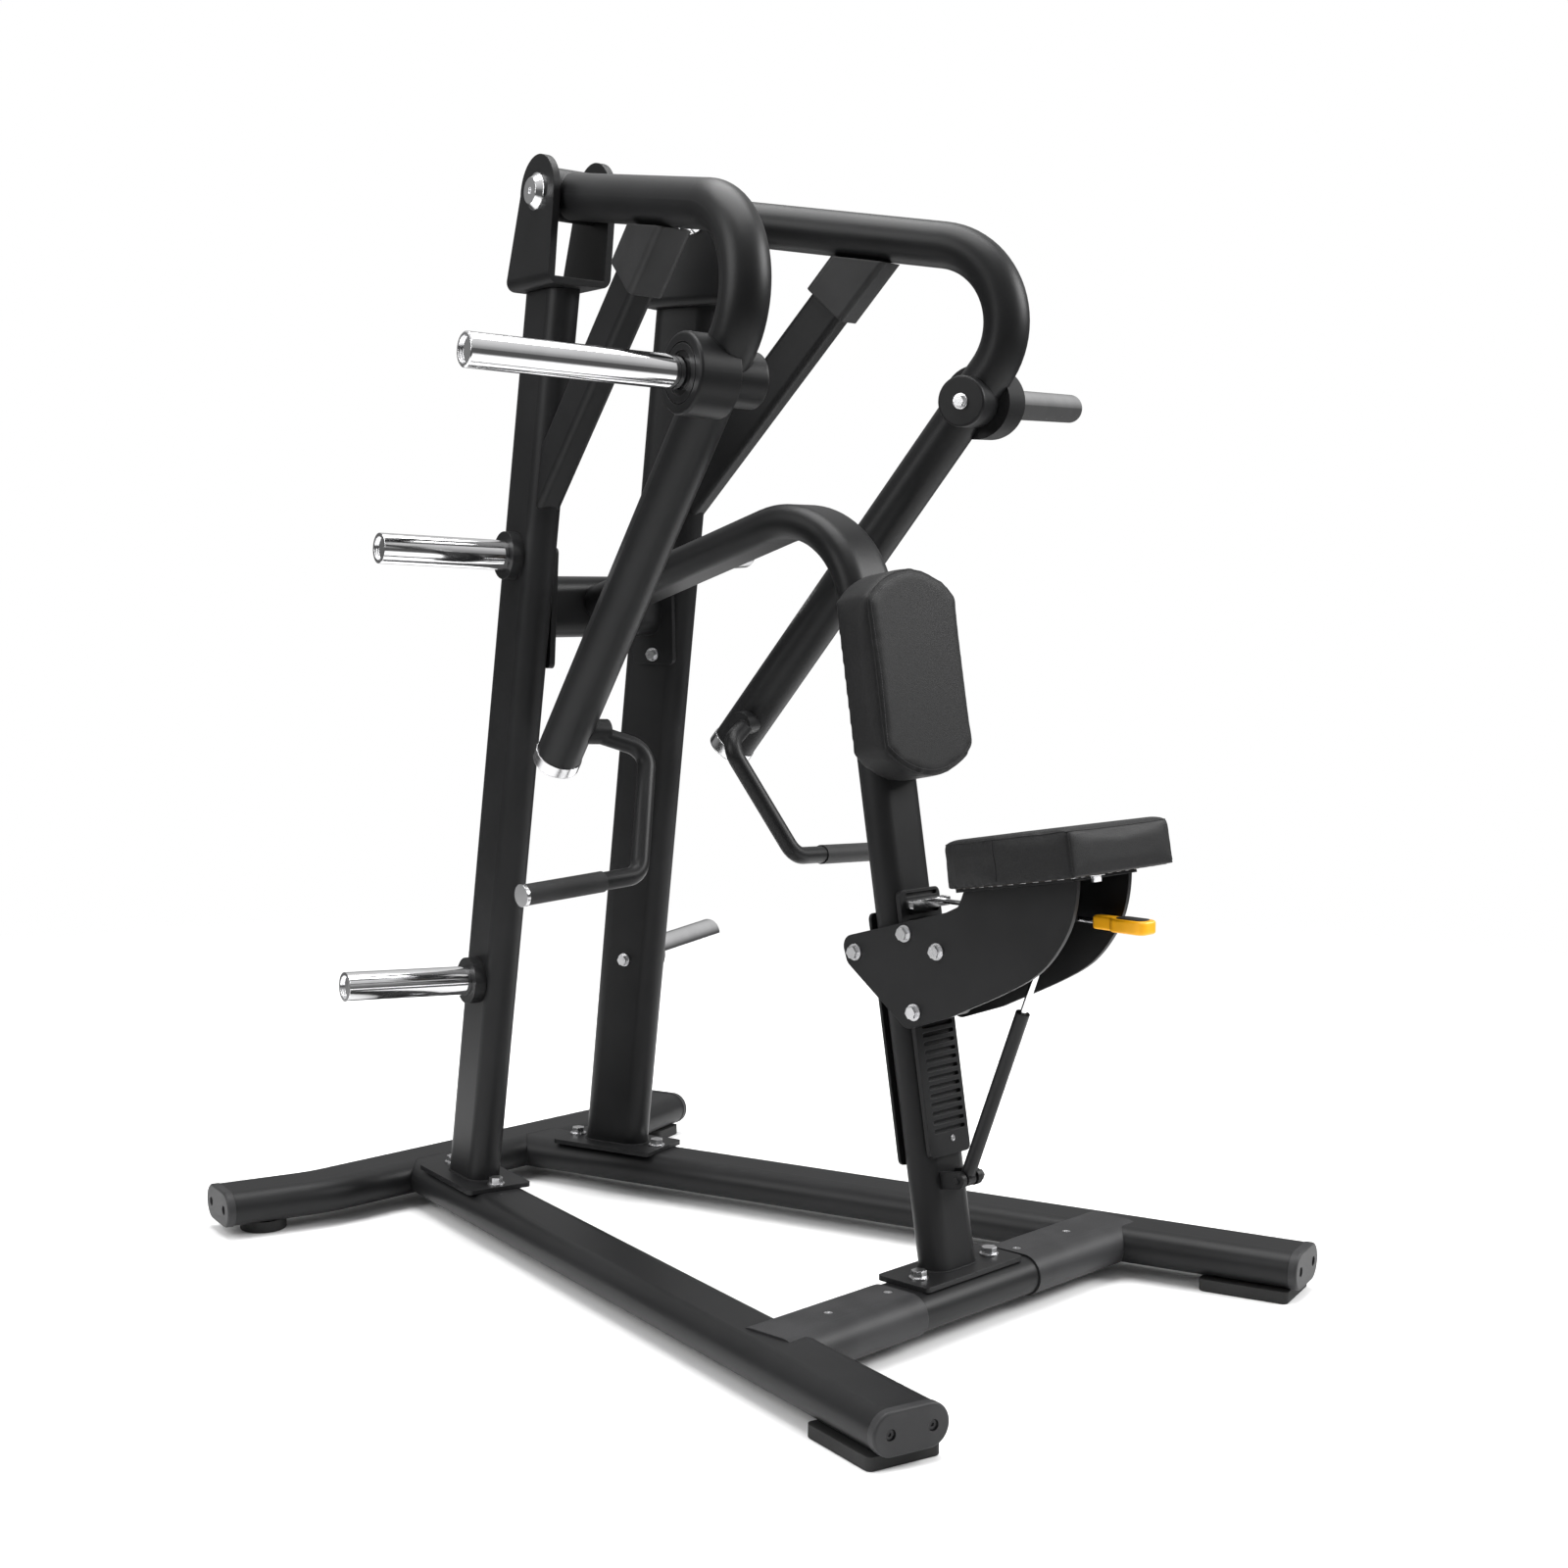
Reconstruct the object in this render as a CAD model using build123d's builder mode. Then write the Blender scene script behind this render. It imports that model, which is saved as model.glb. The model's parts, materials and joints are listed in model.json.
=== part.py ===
from build123d import *
import math
import os

os.makedirs("parts", exist_ok=True)

# ---------------------------------------------------------------- driving sizes
# Frame: +Z up, mirror symmetric about X = 0, the user sits on the -Y side.
FOOT_MID_Y = 446.67  # cross tube datum to the middle of the footprint
SPLAY = 14.0  # side frames open toward the front
TILT = 2.3  # side frames lean inward going up

OVAL_W, OVAL_T, WALL = 120.0, 60.0, 3.0  # base tube, lying flat
POST_W, POST_T = 105.0, 55.0  # seat post and upper beam
UPRIGHT_W, UPRIGHT_T = 125.0, 58.0
BASE_Z = 50.0  # centre height of the base tubes
PLATE_T = 8.0

PIVOT_X, PIVOT_Y, PIVOT_Z = 162.3, 696.7, 1762.0
SHAFT_R = 15.0
RUN_GAP = 0.06  # radial running clearance
EAR_IN, EAR_T, EAR_R = 45.0, 12.0, 60.0

ARM_R, ARM_WALL, ARM_BEND = 38.0, 4.0, 130.0
ARM_TURN = (673.5, -105.2)  # corner of the arm path from the pivot
ARM_END = (38.0, -912.0)
HUB = (508.0, -328.0)
COLLAR_R, COLLAR_OUT = 61.0, 70.0
BOSS_R, BOSS_IN = 42.0, 58.0
HORN_R, ROOT_R, NECK = 25.0, 24.0, 1.0  # weight horn, its root in the collar, gap between
ARM_HORN_END = 411.0
STORE_HORN_END = 272.0
STORE_LOW_Z, STORE_HIGH_Z = 441.0, 1175.0

REAR_Y, REAR_BEND_X = 1143.0, 355.0
REAR_END = (520.0, 1189.0)
RAIL_FRONT, CAP_T = 357.0, 14.0
CROSS_Y = -15.0
COVER_IN, COVER_GROW = 138.0, 3.0

POST_FOOT_Y, POST_LEAN = -0.175, 0.1775  # post line, rise toward the tower
POST_TURN_Z, POST_BEND = 1277.0, 150.0
BEAM_Z, BEAM_H, BEAM_T = 1090.0, 105.0, 55.0

PLATE_IN, PLATE_OUT = 60.0, 68.0  # carriage side plates, distance from X = 0
LADDER_T, LADDER_W, LADDER_PITCH = 8.0, 96.0, 13.5
GUIDE_T = 5.0
ROLLER_R, ROLLER_LEN, AXLE_R = 18.0, 104.0, 6.0
ROLL_GAP = 0.3

GRIP_R, BAR_R = 17.0, 15.0
ROD_X, ROD_Z, ROD_R = 38.0, 646.0, 4.0  # release rod, beside the strut eye

# ---------------------------------------------------------------- derived frames
BASE_TOP = BASE_Z + OVAL_T / 2
BASE_LOW = BASE_Z - OVAL_T / 2
DECK = BASE_TOP + PLATE_T

psi, tilt = math.radians(SPLAY), math.radians(TILT)
ES = Vector(math.sin(psi), -math.cos(psi), 0)
EN0 = Vector(math.cos(psi), math.sin(psi), 0)
UP = Vector(0, 0, 1)
EN = EN0 * math.cos(tilt) + UP * math.sin(tilt)
EH = UP * math.cos(tilt) - EN0 * math.sin(tilt)
PIVOT = Vector(PIVOT_X, PIVOT_Y - FOOT_MID_Y, PIVOT_Z)


def at_side(s, h, n=0.0):
    """Point of the right side frame: s forward, h up, n outward of the pivot."""
    return PIVOT + ES * s + EH * h + EN * n


def side(n=0.0):
    """Sketch plane of the right side frame, seen from outside; extrudes inward."""
    return Plane(origin=at_side(0, 0, n), x_dir=ES, z_dir=EN * -1)


def side_at_z(s, z):
    """Point of the side plane at height z, s forward of the pivot."""
    return at_side(s, (z - PIVOT_Z) / math.cos(tilt))


def rail_at(s, n, z):
    """Point of the right rail: s forward of the pivot, n outward, at height z."""
    base = side_at_z(s, BASE_Z)
    return Vector(base.X, base.Y, z) + EN0 * n


def post_y(z):
    """Y of the post axis at height z."""
    return POST_FOOT_Y - FOOT_MID_Y + POST_LEAN * (z - DECK)


lean = math.atan(POST_LEAN)
EU = Vector(0, math.sin(lean), math.cos(lean))
EW = Vector(0, -math.cos(lean), math.sin(lean))
SEAT_Z = 673.0
SEAT_O = Vector(0, post_y(SEAT_Z), SEAT_Z)


def at_post(w, u, x=0.0):
    """Point near the post: w in front of its axis, u along it from the seat datum."""
    return SEAT_O + EW * w + EU * u + Vector(x, 0, 0)


def seat_plane(x):
    """Plane across X with w to the right and u up; extrudes toward -X."""
    return Plane(origin=at_post(0, 0, x), x_dir=EW, z_dir=Vector(-1, 0, 0))


def face_plane(w):
    """Plane parallel to the post face, X to the right and u up; extrudes forward."""
    return Plane(origin=at_post(w, 0), x_dir=Vector(1, 0, 0), z_dir=EW)


def drum(part_plane, spots, radius, amount):
    """Round bars of one radius drawn at spots of a plane."""
    with BuildSketch(part_plane) as rounds:
        with Locations(*spots):
            Circle(radius)
    extrude(rounds.sketch, amount=amount)


def cut_drum(part_plane, spots, radius, amount):
    """Round holes of one radius drawn at spots of a plane."""
    with BuildSketch(part_plane) as rounds:
        with Locations(*spots):
            Circle(radius)
    extrude(rounds.sketch, amount=amount, mode=Mode.SUBTRACT)


def save(piece, label):
    """Labels one piece and writes its file."""
    piece.part.label = label
    export_step(piece.part, f"parts/{label}.step")


def twin(piece):
    """The left-hand copy of a right-hand piece."""
    return mirror(piece.part, about=Plane.YZ)


# ---------------------------------------------------------------- base
y_rear = REAR_Y - FOOT_MID_Y
y_end = REAR_END[1] - FOOT_MID_Y
rear_points = [
    (-REAR_END[0], y_end),
    (-REAR_BEND_X, y_rear),
    (REAR_BEND_X, y_rear),
    (REAR_END[0], y_end),
]
end_dir = Vector(REAR_END[0] - REAR_BEND_X, y_end - y_rear, 0).normalized()
end_point = Vector(REAR_END[0], y_end, BASE_Z)
END_PLANE = Plane(origin=end_point, x_dir=end_dir.cross(UP), z_dir=end_dir)


def rear_sweep(width, height, mode):
    """Flat oval swept along the bent rear bar."""
    with BuildLine(Plane.XY.offset(BASE_Z)) as path:
        FilletPolyline(*rear_points, radius=240)
    start = path.line @ 0
    with BuildSketch(Plane(origin=start, x_dir=UP.cross(path.line % 0), z_dir=path.line % 0)) as ring:
        SlotOverall(width, height)
    sweep(ring.sketch, path=path.line, mode=mode)


with BuildPart() as rear_bar:
    rear_sweep(OVAL_W, OVAL_T, Mode.ADD)
    rear_sweep(OVAL_W - 2 * WALL, OVAL_T - 2 * WALL, Mode.SUBTRACT)
save(rear_bar, "rear_bar")

with BuildPart() as rear_solid:
    rear_sweep(OVAL_W, OVAL_T, Mode.ADD)


def cap_on(plane):
    """Stadium end cap with a plug, on the end plane of an oval tube."""
    with BuildSketch(plane) as face:
        SlotOverall(OVAL_W + 2, OVAL_T + 2)
    flange = extrude(face.sketch, amount=CAP_T)
    rim = flange.faces().sort_by(Axis(plane.origin, plane.z_dir))[-1]
    fillet(rim.edges(), 4)
    with BuildSketch(plane) as plug:
        SlotOverall(OVAL_W - 2 * WALL - 0.6, OVAL_T - 2 * WALL - 0.6)
        SlotOverall(OVAL_W - 2 * WALL - 6.6, OVAL_T - 2 * WALL - 6.6, mode=Mode.SUBTRACT)
    extrude(plug.sketch, amount=-22)
    cut_drum(plane.offset(CAP_T - 7), [(-34, 0), (34, 0)], 8, 8)
    cut_drum(plane.offset(-6), [(-34, 0), (34, 0)], 3.2, 20)


def cap_screws_on(plane):
    """Two button screws sunk in an end cap."""
    drum(plane.offset(CAP_T - 7), [(-34, 0), (34, 0)], 7, 4)
    drum(plane.offset(-4), [(-34, 0), (34, 0)], 3, CAP_T - 3)
    cut_drum(plane.offset(CAP_T - 5), [(-34, 0), (34, 0)], 2.6, 3)


with BuildPart() as rear_bar_caps:
    cap_on(END_PLANE)
    mirror(about=Plane.YZ)
save(rear_bar_caps, "rear_bar_caps")


def rail_plane(s):
    """Plane across the right rail at s, looking forward."""
    return Plane(origin=rail_at(s, 0, BASE_Z), x_dir=EN0, z_dir=ES)


FRONT_S = PIVOT_Y / math.cos(psi) + RAIL_FRONT
REAR_S = FRONT_S - RAIL_FRONT - (REAR_Y / math.cos(psi))
rail_len = FRONT_S - REAR_S


def rail_tube(width, height, mode):
    """Flat oval of the right rail, from its front end to the rear bar axis."""
    with BuildSketch(rail_plane(FRONT_S)) as ring:
        SlotOverall(width, height)
    extrude(ring.sketch, amount=-rail_len, mode=mode)


with BuildPart() as right_rail:
    rail_tube(OVAL_W, OVAL_T, Mode.ADD)
    rail_tube(OVAL_W - 2 * WALL, OVAL_T - 2 * WALL, Mode.SUBTRACT)
    add(rear_solid.part, mode=Mode.SUBTRACT)
save(right_rail, "right_rail")

with BuildPart() as left_rail:
    add(twin(right_rail))
save(left_rail, "left_rail")

with BuildPart() as rail_solid:
    rail_tube(OVAL_W, OVAL_T, Mode.ADD)
    mirror(about=Plane.YZ)

with BuildPart() as rail_caps:
    cap_on(rail_plane(FRONT_S))
    mirror(about=Plane.YZ)
save(rail_caps, "rail_caps")

with BuildPart() as cap_screws:
    cap_screws_on(rail_plane(FRONT_S))
    cap_screws_on(END_PLANE)
    mirror(about=Plane.YZ)
save(cap_screws, "cap_screws")

FOOT_L, FOOT_W = 148.0, 118.0
with BuildPart() as front_feet:
    with BuildSketch(Plane(origin=rail_at(FRONT_S - FOOT_L / 2, 0, 0), x_dir=ES, z_dir=UP)):
        RectangleRounded(FOOT_L, FOOT_W, 10)
    extrude(amount=BASE_LOW)
    fillet(front_feet.faces().sort_by(Axis.Z)[0].edges(), 3)
    mirror(about=Plane.YZ)
save(front_feet, "front_feet")

REAR_FOOT_X = 455.0
foot_y = y_rear + (REAR_FOOT_X - REAR_BEND_X) * (y_end - y_rear) / (REAR_END[0] - REAR_BEND_X)
with BuildPart() as puck_foot:
    drum(Plane.XY, [(-REAR_FOOT_X, foot_y)], 40, BASE_LOW)
    fillet(puck_foot.faces().sort_by(Axis.Z)[0].edges(), 3)
save(puck_foot, "puck_foot")

block_at = end_point - end_dir * 42
with BuildPart() as block_foot:
    with BuildSketch(Plane(origin=(block_at.X, block_at.Y, 0), x_dir=end_dir, z_dir=UP)):
        RectangleRounded(76, 100, 8)
    extrude(amount=BASE_LOW)
    fillet(block_foot.faces().sort_by(Axis.Z)[0].edges(), 3)
save(block_foot, "block_foot")

y_cross = CROSS_Y - FOOT_MID_Y
CROSS_HALF = 420.0


def cross_oval(x_from, x_to, width, height, mode):
    """Flat oval along X under the post."""
    with BuildSketch(Plane(origin=(x_from, y_cross, BASE_Z), x_dir=(0, 1, 0), z_dir=(1, 0, 0))) as ring:
        SlotOverall(width, height)
    extrude(ring.sketch, amount=x_to - x_from, mode=mode)


with BuildPart() as cross_tube:
    cross_oval(-CROSS_HALF, CROSS_HALF, OVAL_W, OVAL_T, Mode.ADD)
    cross_oval(-CROSS_HALF, CROSS_HALF, OVAL_W - 2 * WALL, OVAL_T - 2 * WALL, Mode.SUBTRACT)
    add(rail_solid.part, mode=Mode.SUBTRACT)
    cross_mid = cross_tube.part.solids().sort_by(SortBy.VOLUME)[-1]
with BuildPart() as cross_only:
    add(cross_mid)
save(cross_only, "cross_tube")

with BuildPart() as joint_covers:
    cross_oval(COVER_IN, CROSS_HALF, OVAL_W + 2 * COVER_GROW, OVAL_T + 2 * COVER_GROW, Mode.ADD)
    cross_oval(COVER_IN, CROSS_HALF, OVAL_W, OVAL_T, Mode.SUBTRACT)
    add(rail_solid.part, mode=Mode.SUBTRACT)
    cover = joint_covers.part.solids().sort_by(Axis.X)[0]
with BuildPart() as covers_only:
    add(cover)
    cut_drum(Plane.XY.offset(BASE_TOP - 1), [(158, y_cross), (291, y_cross)], 7, 6)
    mirror(about=Plane.YZ)
save(covers_only, "joint_covers")

with BuildPart() as cover_screws:
    drum(Plane.XY.offset(BASE_TOP + 0.2), [(158, y_cross), (291, y_cross)], 6.6, 2.4)
    cut_drum(Plane.XY.offset(BASE_TOP + 1.4), [(158, y_cross), (291, y_cross)], 2.5, 2)
    mirror(about=Plane.YZ)
save(cover_screws, "cover_screws")

# ---------------------------------------------------------------- uprights
FOOT_S = -231.0  # upright foot behind the pivot
TOP_S, TOP_H = -42.0, -150.0
foot_pt = side_at_z(FOOT_S, DECK)
top_pt = side_at_z(TOP_S, PIVOT_Z + TOP_H)
upright_dir = (top_pt - foot_pt).normalized()
UPRIGHT_RISE = top_pt.Z - foot_pt.Z
FOOT_PLANE = Plane(origin=foot_pt, x_dir=ES, z_dir=UP)


def on_upright(z):
    """Point of the right upright axis at height z."""
    return foot_pt + upright_dir * ((z - foot_pt.Z) / upright_dir.Z)


def upright_oval(width, height, mode):
    """Leaning oval prism of the right upright."""
    with BuildSketch(FOOT_PLANE) as ring:
        SlotOverall(width, height)
    extrude(ring.sketch, amount=UPRIGHT_RISE / upright_dir.Z, dir=upright_dir, mode=mode)


with BuildPart() as right_upright:
    upright_oval(UPRIGHT_W, UPRIGHT_T, Mode.ADD)
    upright_oval(UPRIGHT_W - 2 * WALL, UPRIGHT_T - 2 * WALL, Mode.SUBTRACT)
save(right_upright, "right_upright")

with BuildPart() as left_upright:
    add(twin(right_upright))
save(left_upright, "left_upright")

with BuildPart() as upright_solid:
    upright_oval(UPRIGHT_W, UPRIGHT_T, Mode.ADD)

BOLT_S = 88.0
with BuildPart() as base_plates:
    with BuildSketch(Plane(origin=(foot_pt.X, foot_pt.Y, BASE_TOP), x_dir=ES, z_dir=UP)):
        RectangleRounded(212, 118, 8)
        with Locations((-BOLT_S, 0), (BOLT_S, 0)):
            Circle(8.5, mode=Mode.SUBTRACT)
    extrude(amount=PLATE_T)
    mirror(about=Plane.YZ)
    with BuildSketch(Plane.XY.offset(BASE_TOP)):
        with Locations((0, POST_FOOT_Y - FOOT_MID_Y - 8)):
            RectangleRounded(236, 100, 8)
        with Locations((-86, y_cross), (86, y_cross)):
            Circle(8.5, mode=Mode.SUBTRACT)
    extrude(amount=PLATE_T)
save(base_plates, "base_plates")


def hex_bolt(plane, spots):
    """Washer, hex head and short shank standing on a plane."""
    drum(plane, spots, 15, 2.5)
    with BuildSketch(plane.offset(2.5)) as head:
        with Locations(*spots):
            RegularPolygon(12, 6)
    extrude(head.sketch, amount=10)
    drum(plane.offset(-7.5), spots, 8, 7.5)


with BuildPart() as base_bolts:
    hex_bolt(FOOT_PLANE, [(-BOLT_S, 0), (BOLT_S, 0)])
    mirror(about=Plane.YZ)
    hex_bolt(Plane.XY.offset(DECK), [(-86, y_cross), (86, y_cross)])
save(base_bolts, "base_bolts")

# ---------------------------------------------------------------- clevis and pivot
EAR_OUT = EAR_IN + EAR_T
WEB_LOW = TOP_H / math.cos(tilt)
with BuildPart() as right_clevis:
    with BuildSketch(side(EAR_OUT)):
        with BuildLine():
            Polyline((-106, WEB_LOW), (50, WEB_LOW), (EAR_R, 0), (-EAR_R, 0), close=True)
        make_face()
        Circle(EAR_R)
    extrude(amount=2 * EAR_OUT)
    with BuildSketch(side(EAR_IN)):
        with Locations((-30, 0)):
            Rectangle(240, 2 * (-WEB_LOW - EAR_T))
    extrude(amount=2 * EAR_IN, mode=Mode.SUBTRACT)
    corners = right_clevis.edges().filter_by(Axis(PIVOT, ES)).sort_by(Axis.Z)[0:2]
    fillet(corners, 18)
    with BuildSketch(side(EAR_OUT + 1)):
        Circle(SHAFT_R)
    extrude(amount=2 * EAR_OUT + 2, mode=Mode.SUBTRACT)
    under = Plane(origin=(0, 0, top_pt.Z), z_dir=UP)
    split(bisect_by=under, keep=Keep.TOP)
save(right_clevis, "right_clevis")

with BuildPart() as left_clevis:
    add(twin(right_clevis))
save(left_clevis, "left_clevis")

DOME_R, DOME_H = 30.0, 13.0
with BuildPart() as right_pivot:
    with BuildSketch(side(EAR_OUT)):
        Circle(SHAFT_R)
    extrude(amount=2 * EAR_OUT)
    for flip in (1, -1):
        cap_dir = EN * flip
        dome = Plane(origin=at_side(0, 0, EAR_OUT * flip), x_dir=ES, z_dir=cap_dir)
        with BuildSketch(dome):
            Circle(DOME_R)
        extrude(amount=3)
        with BuildSketch(dome.offset(3)):
            Circle(DOME_R - 1)
        extrude(amount=DOME_H - 3, taper=38)
        with BuildSketch(dome.offset(DOME_H - 4)):
            RegularPolygon(6, 6)
        extrude(amount=6, mode=Mode.SUBTRACT)
save(right_pivot, "right_pivot")

with BuildPart() as left_pivot:
    add(twin(right_pivot))
save(left_pivot, "left_pivot")

# ---------------------------------------------------------------- arms
BARREL_R, BARREL_HALF = 42.0, 42.0


def arm_sweep(radius, mode):
    """Round tube along the bent arm path."""
    with BuildLine(side()) as path:
        FilletPolyline((0, 0), ARM_TURN, ARM_END, radius=ARM_BEND)
    with BuildSketch(Plane(origin=PIVOT, x_dir=EN, z_dir=path.line % 0)) as ring:
        Circle(radius)
    sweep(ring.sketch, path=path.line, mode=mode)


with BuildPart() as arm_solid:
    arm_sweep(ARM_R, Mode.ADD)

with BuildPart() as right_arm_tube:
    arm_sweep(ARM_R, Mode.ADD)
    arm_sweep(ARM_R - ARM_WALL, Mode.SUBTRACT)
    with BuildSketch(side(BARREL_HALF)):
        Circle(BARREL_R)
    extrude(amount=2 * BARREL_HALF)
    with BuildSketch(side(BARREL_HALF)):
        Circle(SHAFT_R + RUN_GAP)
    extrude(amount=2 * BARREL_HALF, mode=Mode.SUBTRACT)
save(right_arm_tube, "right_arm_tube")

with BuildPart() as left_arm_tube:
    add(twin(right_arm_tube))
save(left_arm_tube, "left_arm_tube")

with BuildPart() as right_arm_hub:
    drum(side(COLLAR_OUT), [HUB], COLLAR_R, COLLAR_OUT - 1.5)
    fillet(right_arm_hub.faces().sort_by(Axis(PIVOT, EN))[-1].edges(), 5)
    drum(side(-1.5), [HUB], BOSS_R, BOSS_IN - 1.5)
    fillet(right_arm_hub.faces().sort_by(Axis(PIVOT, EN))[0].edges(), 4)
    with BuildSketch(side(COLLAR_OUT + 1)):
        with Locations(HUB):
            Circle(45.5)
            Circle(43.5, mode=Mode.SUBTRACT)
            Circle(33)
            Circle(ROOT_R, mode=Mode.SUBTRACT)
    extrude(amount=5, mode=Mode.SUBTRACT)
    cut_drum(side(COLLAR_OUT + 1), [HUB], ROOT_R, COLLAR_OUT - ARM_R)
    add(arm_solid.part, mode=Mode.SUBTRACT)
save(right_arm_hub, "right_arm_hub")

with BuildPart() as left_arm_hub:
    add(twin(right_arm_hub))
save(left_arm_hub, "left_arm_hub")

with BuildPart() as right_horn:
    drum(side(ARM_HORN_END), [HUB], HORN_R, ARM_HORN_END - COLLAR_OUT - NECK)
    chamfer(right_horn.faces().sort_by(Axis(PIVOT, EN))[-1].edges(), 2)
    drum(side(COLLAR_OUT + NECK), [HUB], ROOT_R, COLLAR_OUT + NECK - ARM_R - 2)
    cut_drum(side(ARM_HORN_END + 1), [HUB], 19, 5)
save(right_horn, "right_horn")

with BuildPart() as left_horn:
    add(twin(right_horn))
save(left_horn, "left_horn")

arm_way = Vector(ARM_END[0] - ARM_TURN[0], ARM_END[1] - ARM_TURN[1], 0).normalized()
arm_down = ES * arm_way.X + EH * arm_way.Y
END_AT = Plane(origin=at_side(*ARM_END), x_dir=EN, z_dir=arm_down)
RING_T = 22.0

HANDLE = [(84, -872, -30), (102, -901, -131), (197, -1097, -70), (231, -1119, 152)]
handle_pts = [at_side(*p) for p in HANDLE]
grip_dir = (handle_pts[3] - handle_pts[2]).normalized()
GRIP_AT = Plane(origin=handle_pts[3], z_dir=grip_dir)
BOSS_AT = (HANDLE[0][0], HANDLE[0][1])

with BuildPart() as right_handle:
    with BuildLine() as bar_path:
        FilletPolyline(*handle_pts, radius=36)
    with BuildSketch(Plane(origin=handle_pts[0], z_dir=bar_path.line % 0)):
        Circle(BAR_R)
    sweep(path=bar_path.line)
    drum(side(-20), [BOSS_AT], 21, 42)
    add(arm_solid.part, mode=Mode.SUBTRACT)
save(right_handle, "right_handle")

with BuildPart() as left_handle:
    add(twin(right_handle))
save(left_handle, "left_handle")

GRIP_LEN, GRIP_BACK = 150.0, 12.0
with BuildPart() as right_trim:
    drum(END_AT, [(0, 0)], ARM_R + 1.5, RING_T)
    fillet(right_trim.faces().sort_by(Axis(END_AT.origin, arm_down))[-1].edges(), 4)
    drum(side(-BOSS_IN), [HUB], 13, 2.5)
    with BuildSketch(side(-BOSS_IN - 2.5)):
        with Locations(HUB):
            RegularPolygon(10, 6)
    extrude(amount=8)
    drum(GRIP_AT, [(0, 0)], GRIP_R + 1, 6)
save(right_trim, "right_trim")

with BuildPart() as left_trim:
    add(twin(right_trim))
save(left_trim, "left_trim")

with BuildPart() as grips:
    drum(GRIP_AT.offset(-GRIP_LEN), [(0, 0)], GRIP_R, GRIP_LEN)
    cut_drum(GRIP_AT.offset(-GRIP_LEN), [(0, 0)], BAR_R, GRIP_LEN)
save(grips, "right_grip")
with BuildPart() as left_grip:
    add(twin(grips))
save(left_grip, "left_grip")

# ---------------------------------------------------------------- braces and bumpers
SLOPE = ARM_TURN[1] / ARM_TURN[0]
DROP = ARM_R * math.sqrt(1 + SLOPE * SLOPE)
BUMP_GAP = 0.4


def under_arm(s, below=0.0):
    """Height of the arm's underside above s, less a distance below it."""
    return s * SLOPE - DROP - BUMP_GAP - below


BRACE_W, BRACE_T = 72.0, 44.0
brace_mid = (211.0, -192.0)
brace_dir = (0.67, 0.742)
PAD_TOP = 10.0


def brace_edge(offset, run):
    """Point beside the brace line at a run along it."""
    return (
        brace_mid[0] + brace_dir[0] * run + brace_dir[1] * offset,
        brace_mid[1] + brace_dir[1] * run - brace_dir[0] * offset,
    )


def brace_slice(half, low_run, below):
    """Outline of the brace strip from a low run up to the arm's underside."""
    corners = []
    for side_sign in (-1, 1):
        base = brace_edge(half * side_sign, 0)
        target = under_arm(0, below)
        run = (target + SLOPE * base[0] - base[1]) / (brace_dir[1] - SLOPE * brace_dir[0])
        corners.append((brace_edge(half * side_sign, low_run), brace_edge(half * side_sign, run)))
    return [corners[0][0], corners[0][1], corners[1][1], corners[1][0]]


with BuildPart() as right_brace:
    with BuildSketch(side(BRACE_T / 2)):
        with BuildLine():
            Polyline(*brace_slice(BRACE_W / 2, -480, PAD_TOP), close=True)
        make_face()
    extrude(amount=BRACE_T)
    long_way = Axis(PIVOT, ES * brace_dir[0] + EH * brace_dir[1])
    fillet(right_brace.edges().filter_by(long_way), 11)
    add(upright_solid.part, mode=Mode.SUBTRACT)
    brace_main = right_brace.part.solids().sort_by(SortBy.VOLUME)[-1]
with BuildPart() as brace_only:
    add(brace_main)
save(brace_only, "right_brace")
with BuildPart() as left_brace:
    add(twin(brace_only))
save(left_brace, "left_brace")

with BuildPart() as brace_solid:
    with BuildSketch(side(BRACE_T / 2)):
        with BuildLine():
            Polyline(*brace_slice(BRACE_W / 2, -480, PAD_TOP), close=True)
        make_face()
    extrude(amount=BRACE_T)
    fillet(brace_solid.edges().filter_by(long_way), 11)

PAD_WALL = 9.0
with BuildPart() as brace_bumpers:
    with BuildSketch(side(BRACE_T / 2 + PAD_WALL)):
        with BuildLine():
            Polyline(*brace_slice(BRACE_W / 2 + PAD_WALL, 45, 0), close=True)
        make_face()
    extrude(amount=BRACE_T + 2 * PAD_WALL)
    fillet(brace_bumpers.edges().filter_by(long_way), 10)
    add(brace_solid.part, mode=Mode.SUBTRACT)
    mirror(about=Plane.YZ)
save(brace_bumpers, "brace_bumpers")

# ---------------------------------------------------------------- upper beam and post
flat_dir = ES.cross(upright_dir).normalized()
if flat_dir.X > 0:
    flat_dir = flat_dir * -1
flat_in = abs(EN0.dot(flat_dir)) * UPRIGHT_T / 2
beam_end = on_upright(BEAM_Z)
y_beam = beam_end.Y
FLANGE_T = 10.0
flange_plane = Plane(origin=beam_end + flat_dir * flat_in, x_dir=ES, z_dir=flat_dir)


def beam_oval(width, height, mode):
    """Upright oval of the beam between the two uprights, trimmed at the flanges."""
    with BuildSketch(Plane(origin=(-220, y_beam, BEAM_Z), x_dir=(0, 0, 1), z_dir=(1, 0, 0))) as ring:
        SlotOverall(width, height)
    extrude(ring.sketch, amount=440, mode=mode)


with BuildPart() as beam_trim:
    with BuildSketch(flange_plane.offset(FLANGE_T)):
        Rectangle(500, 500)
    extrude(amount=-160)
    mirror(about=Plane.YZ)

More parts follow.
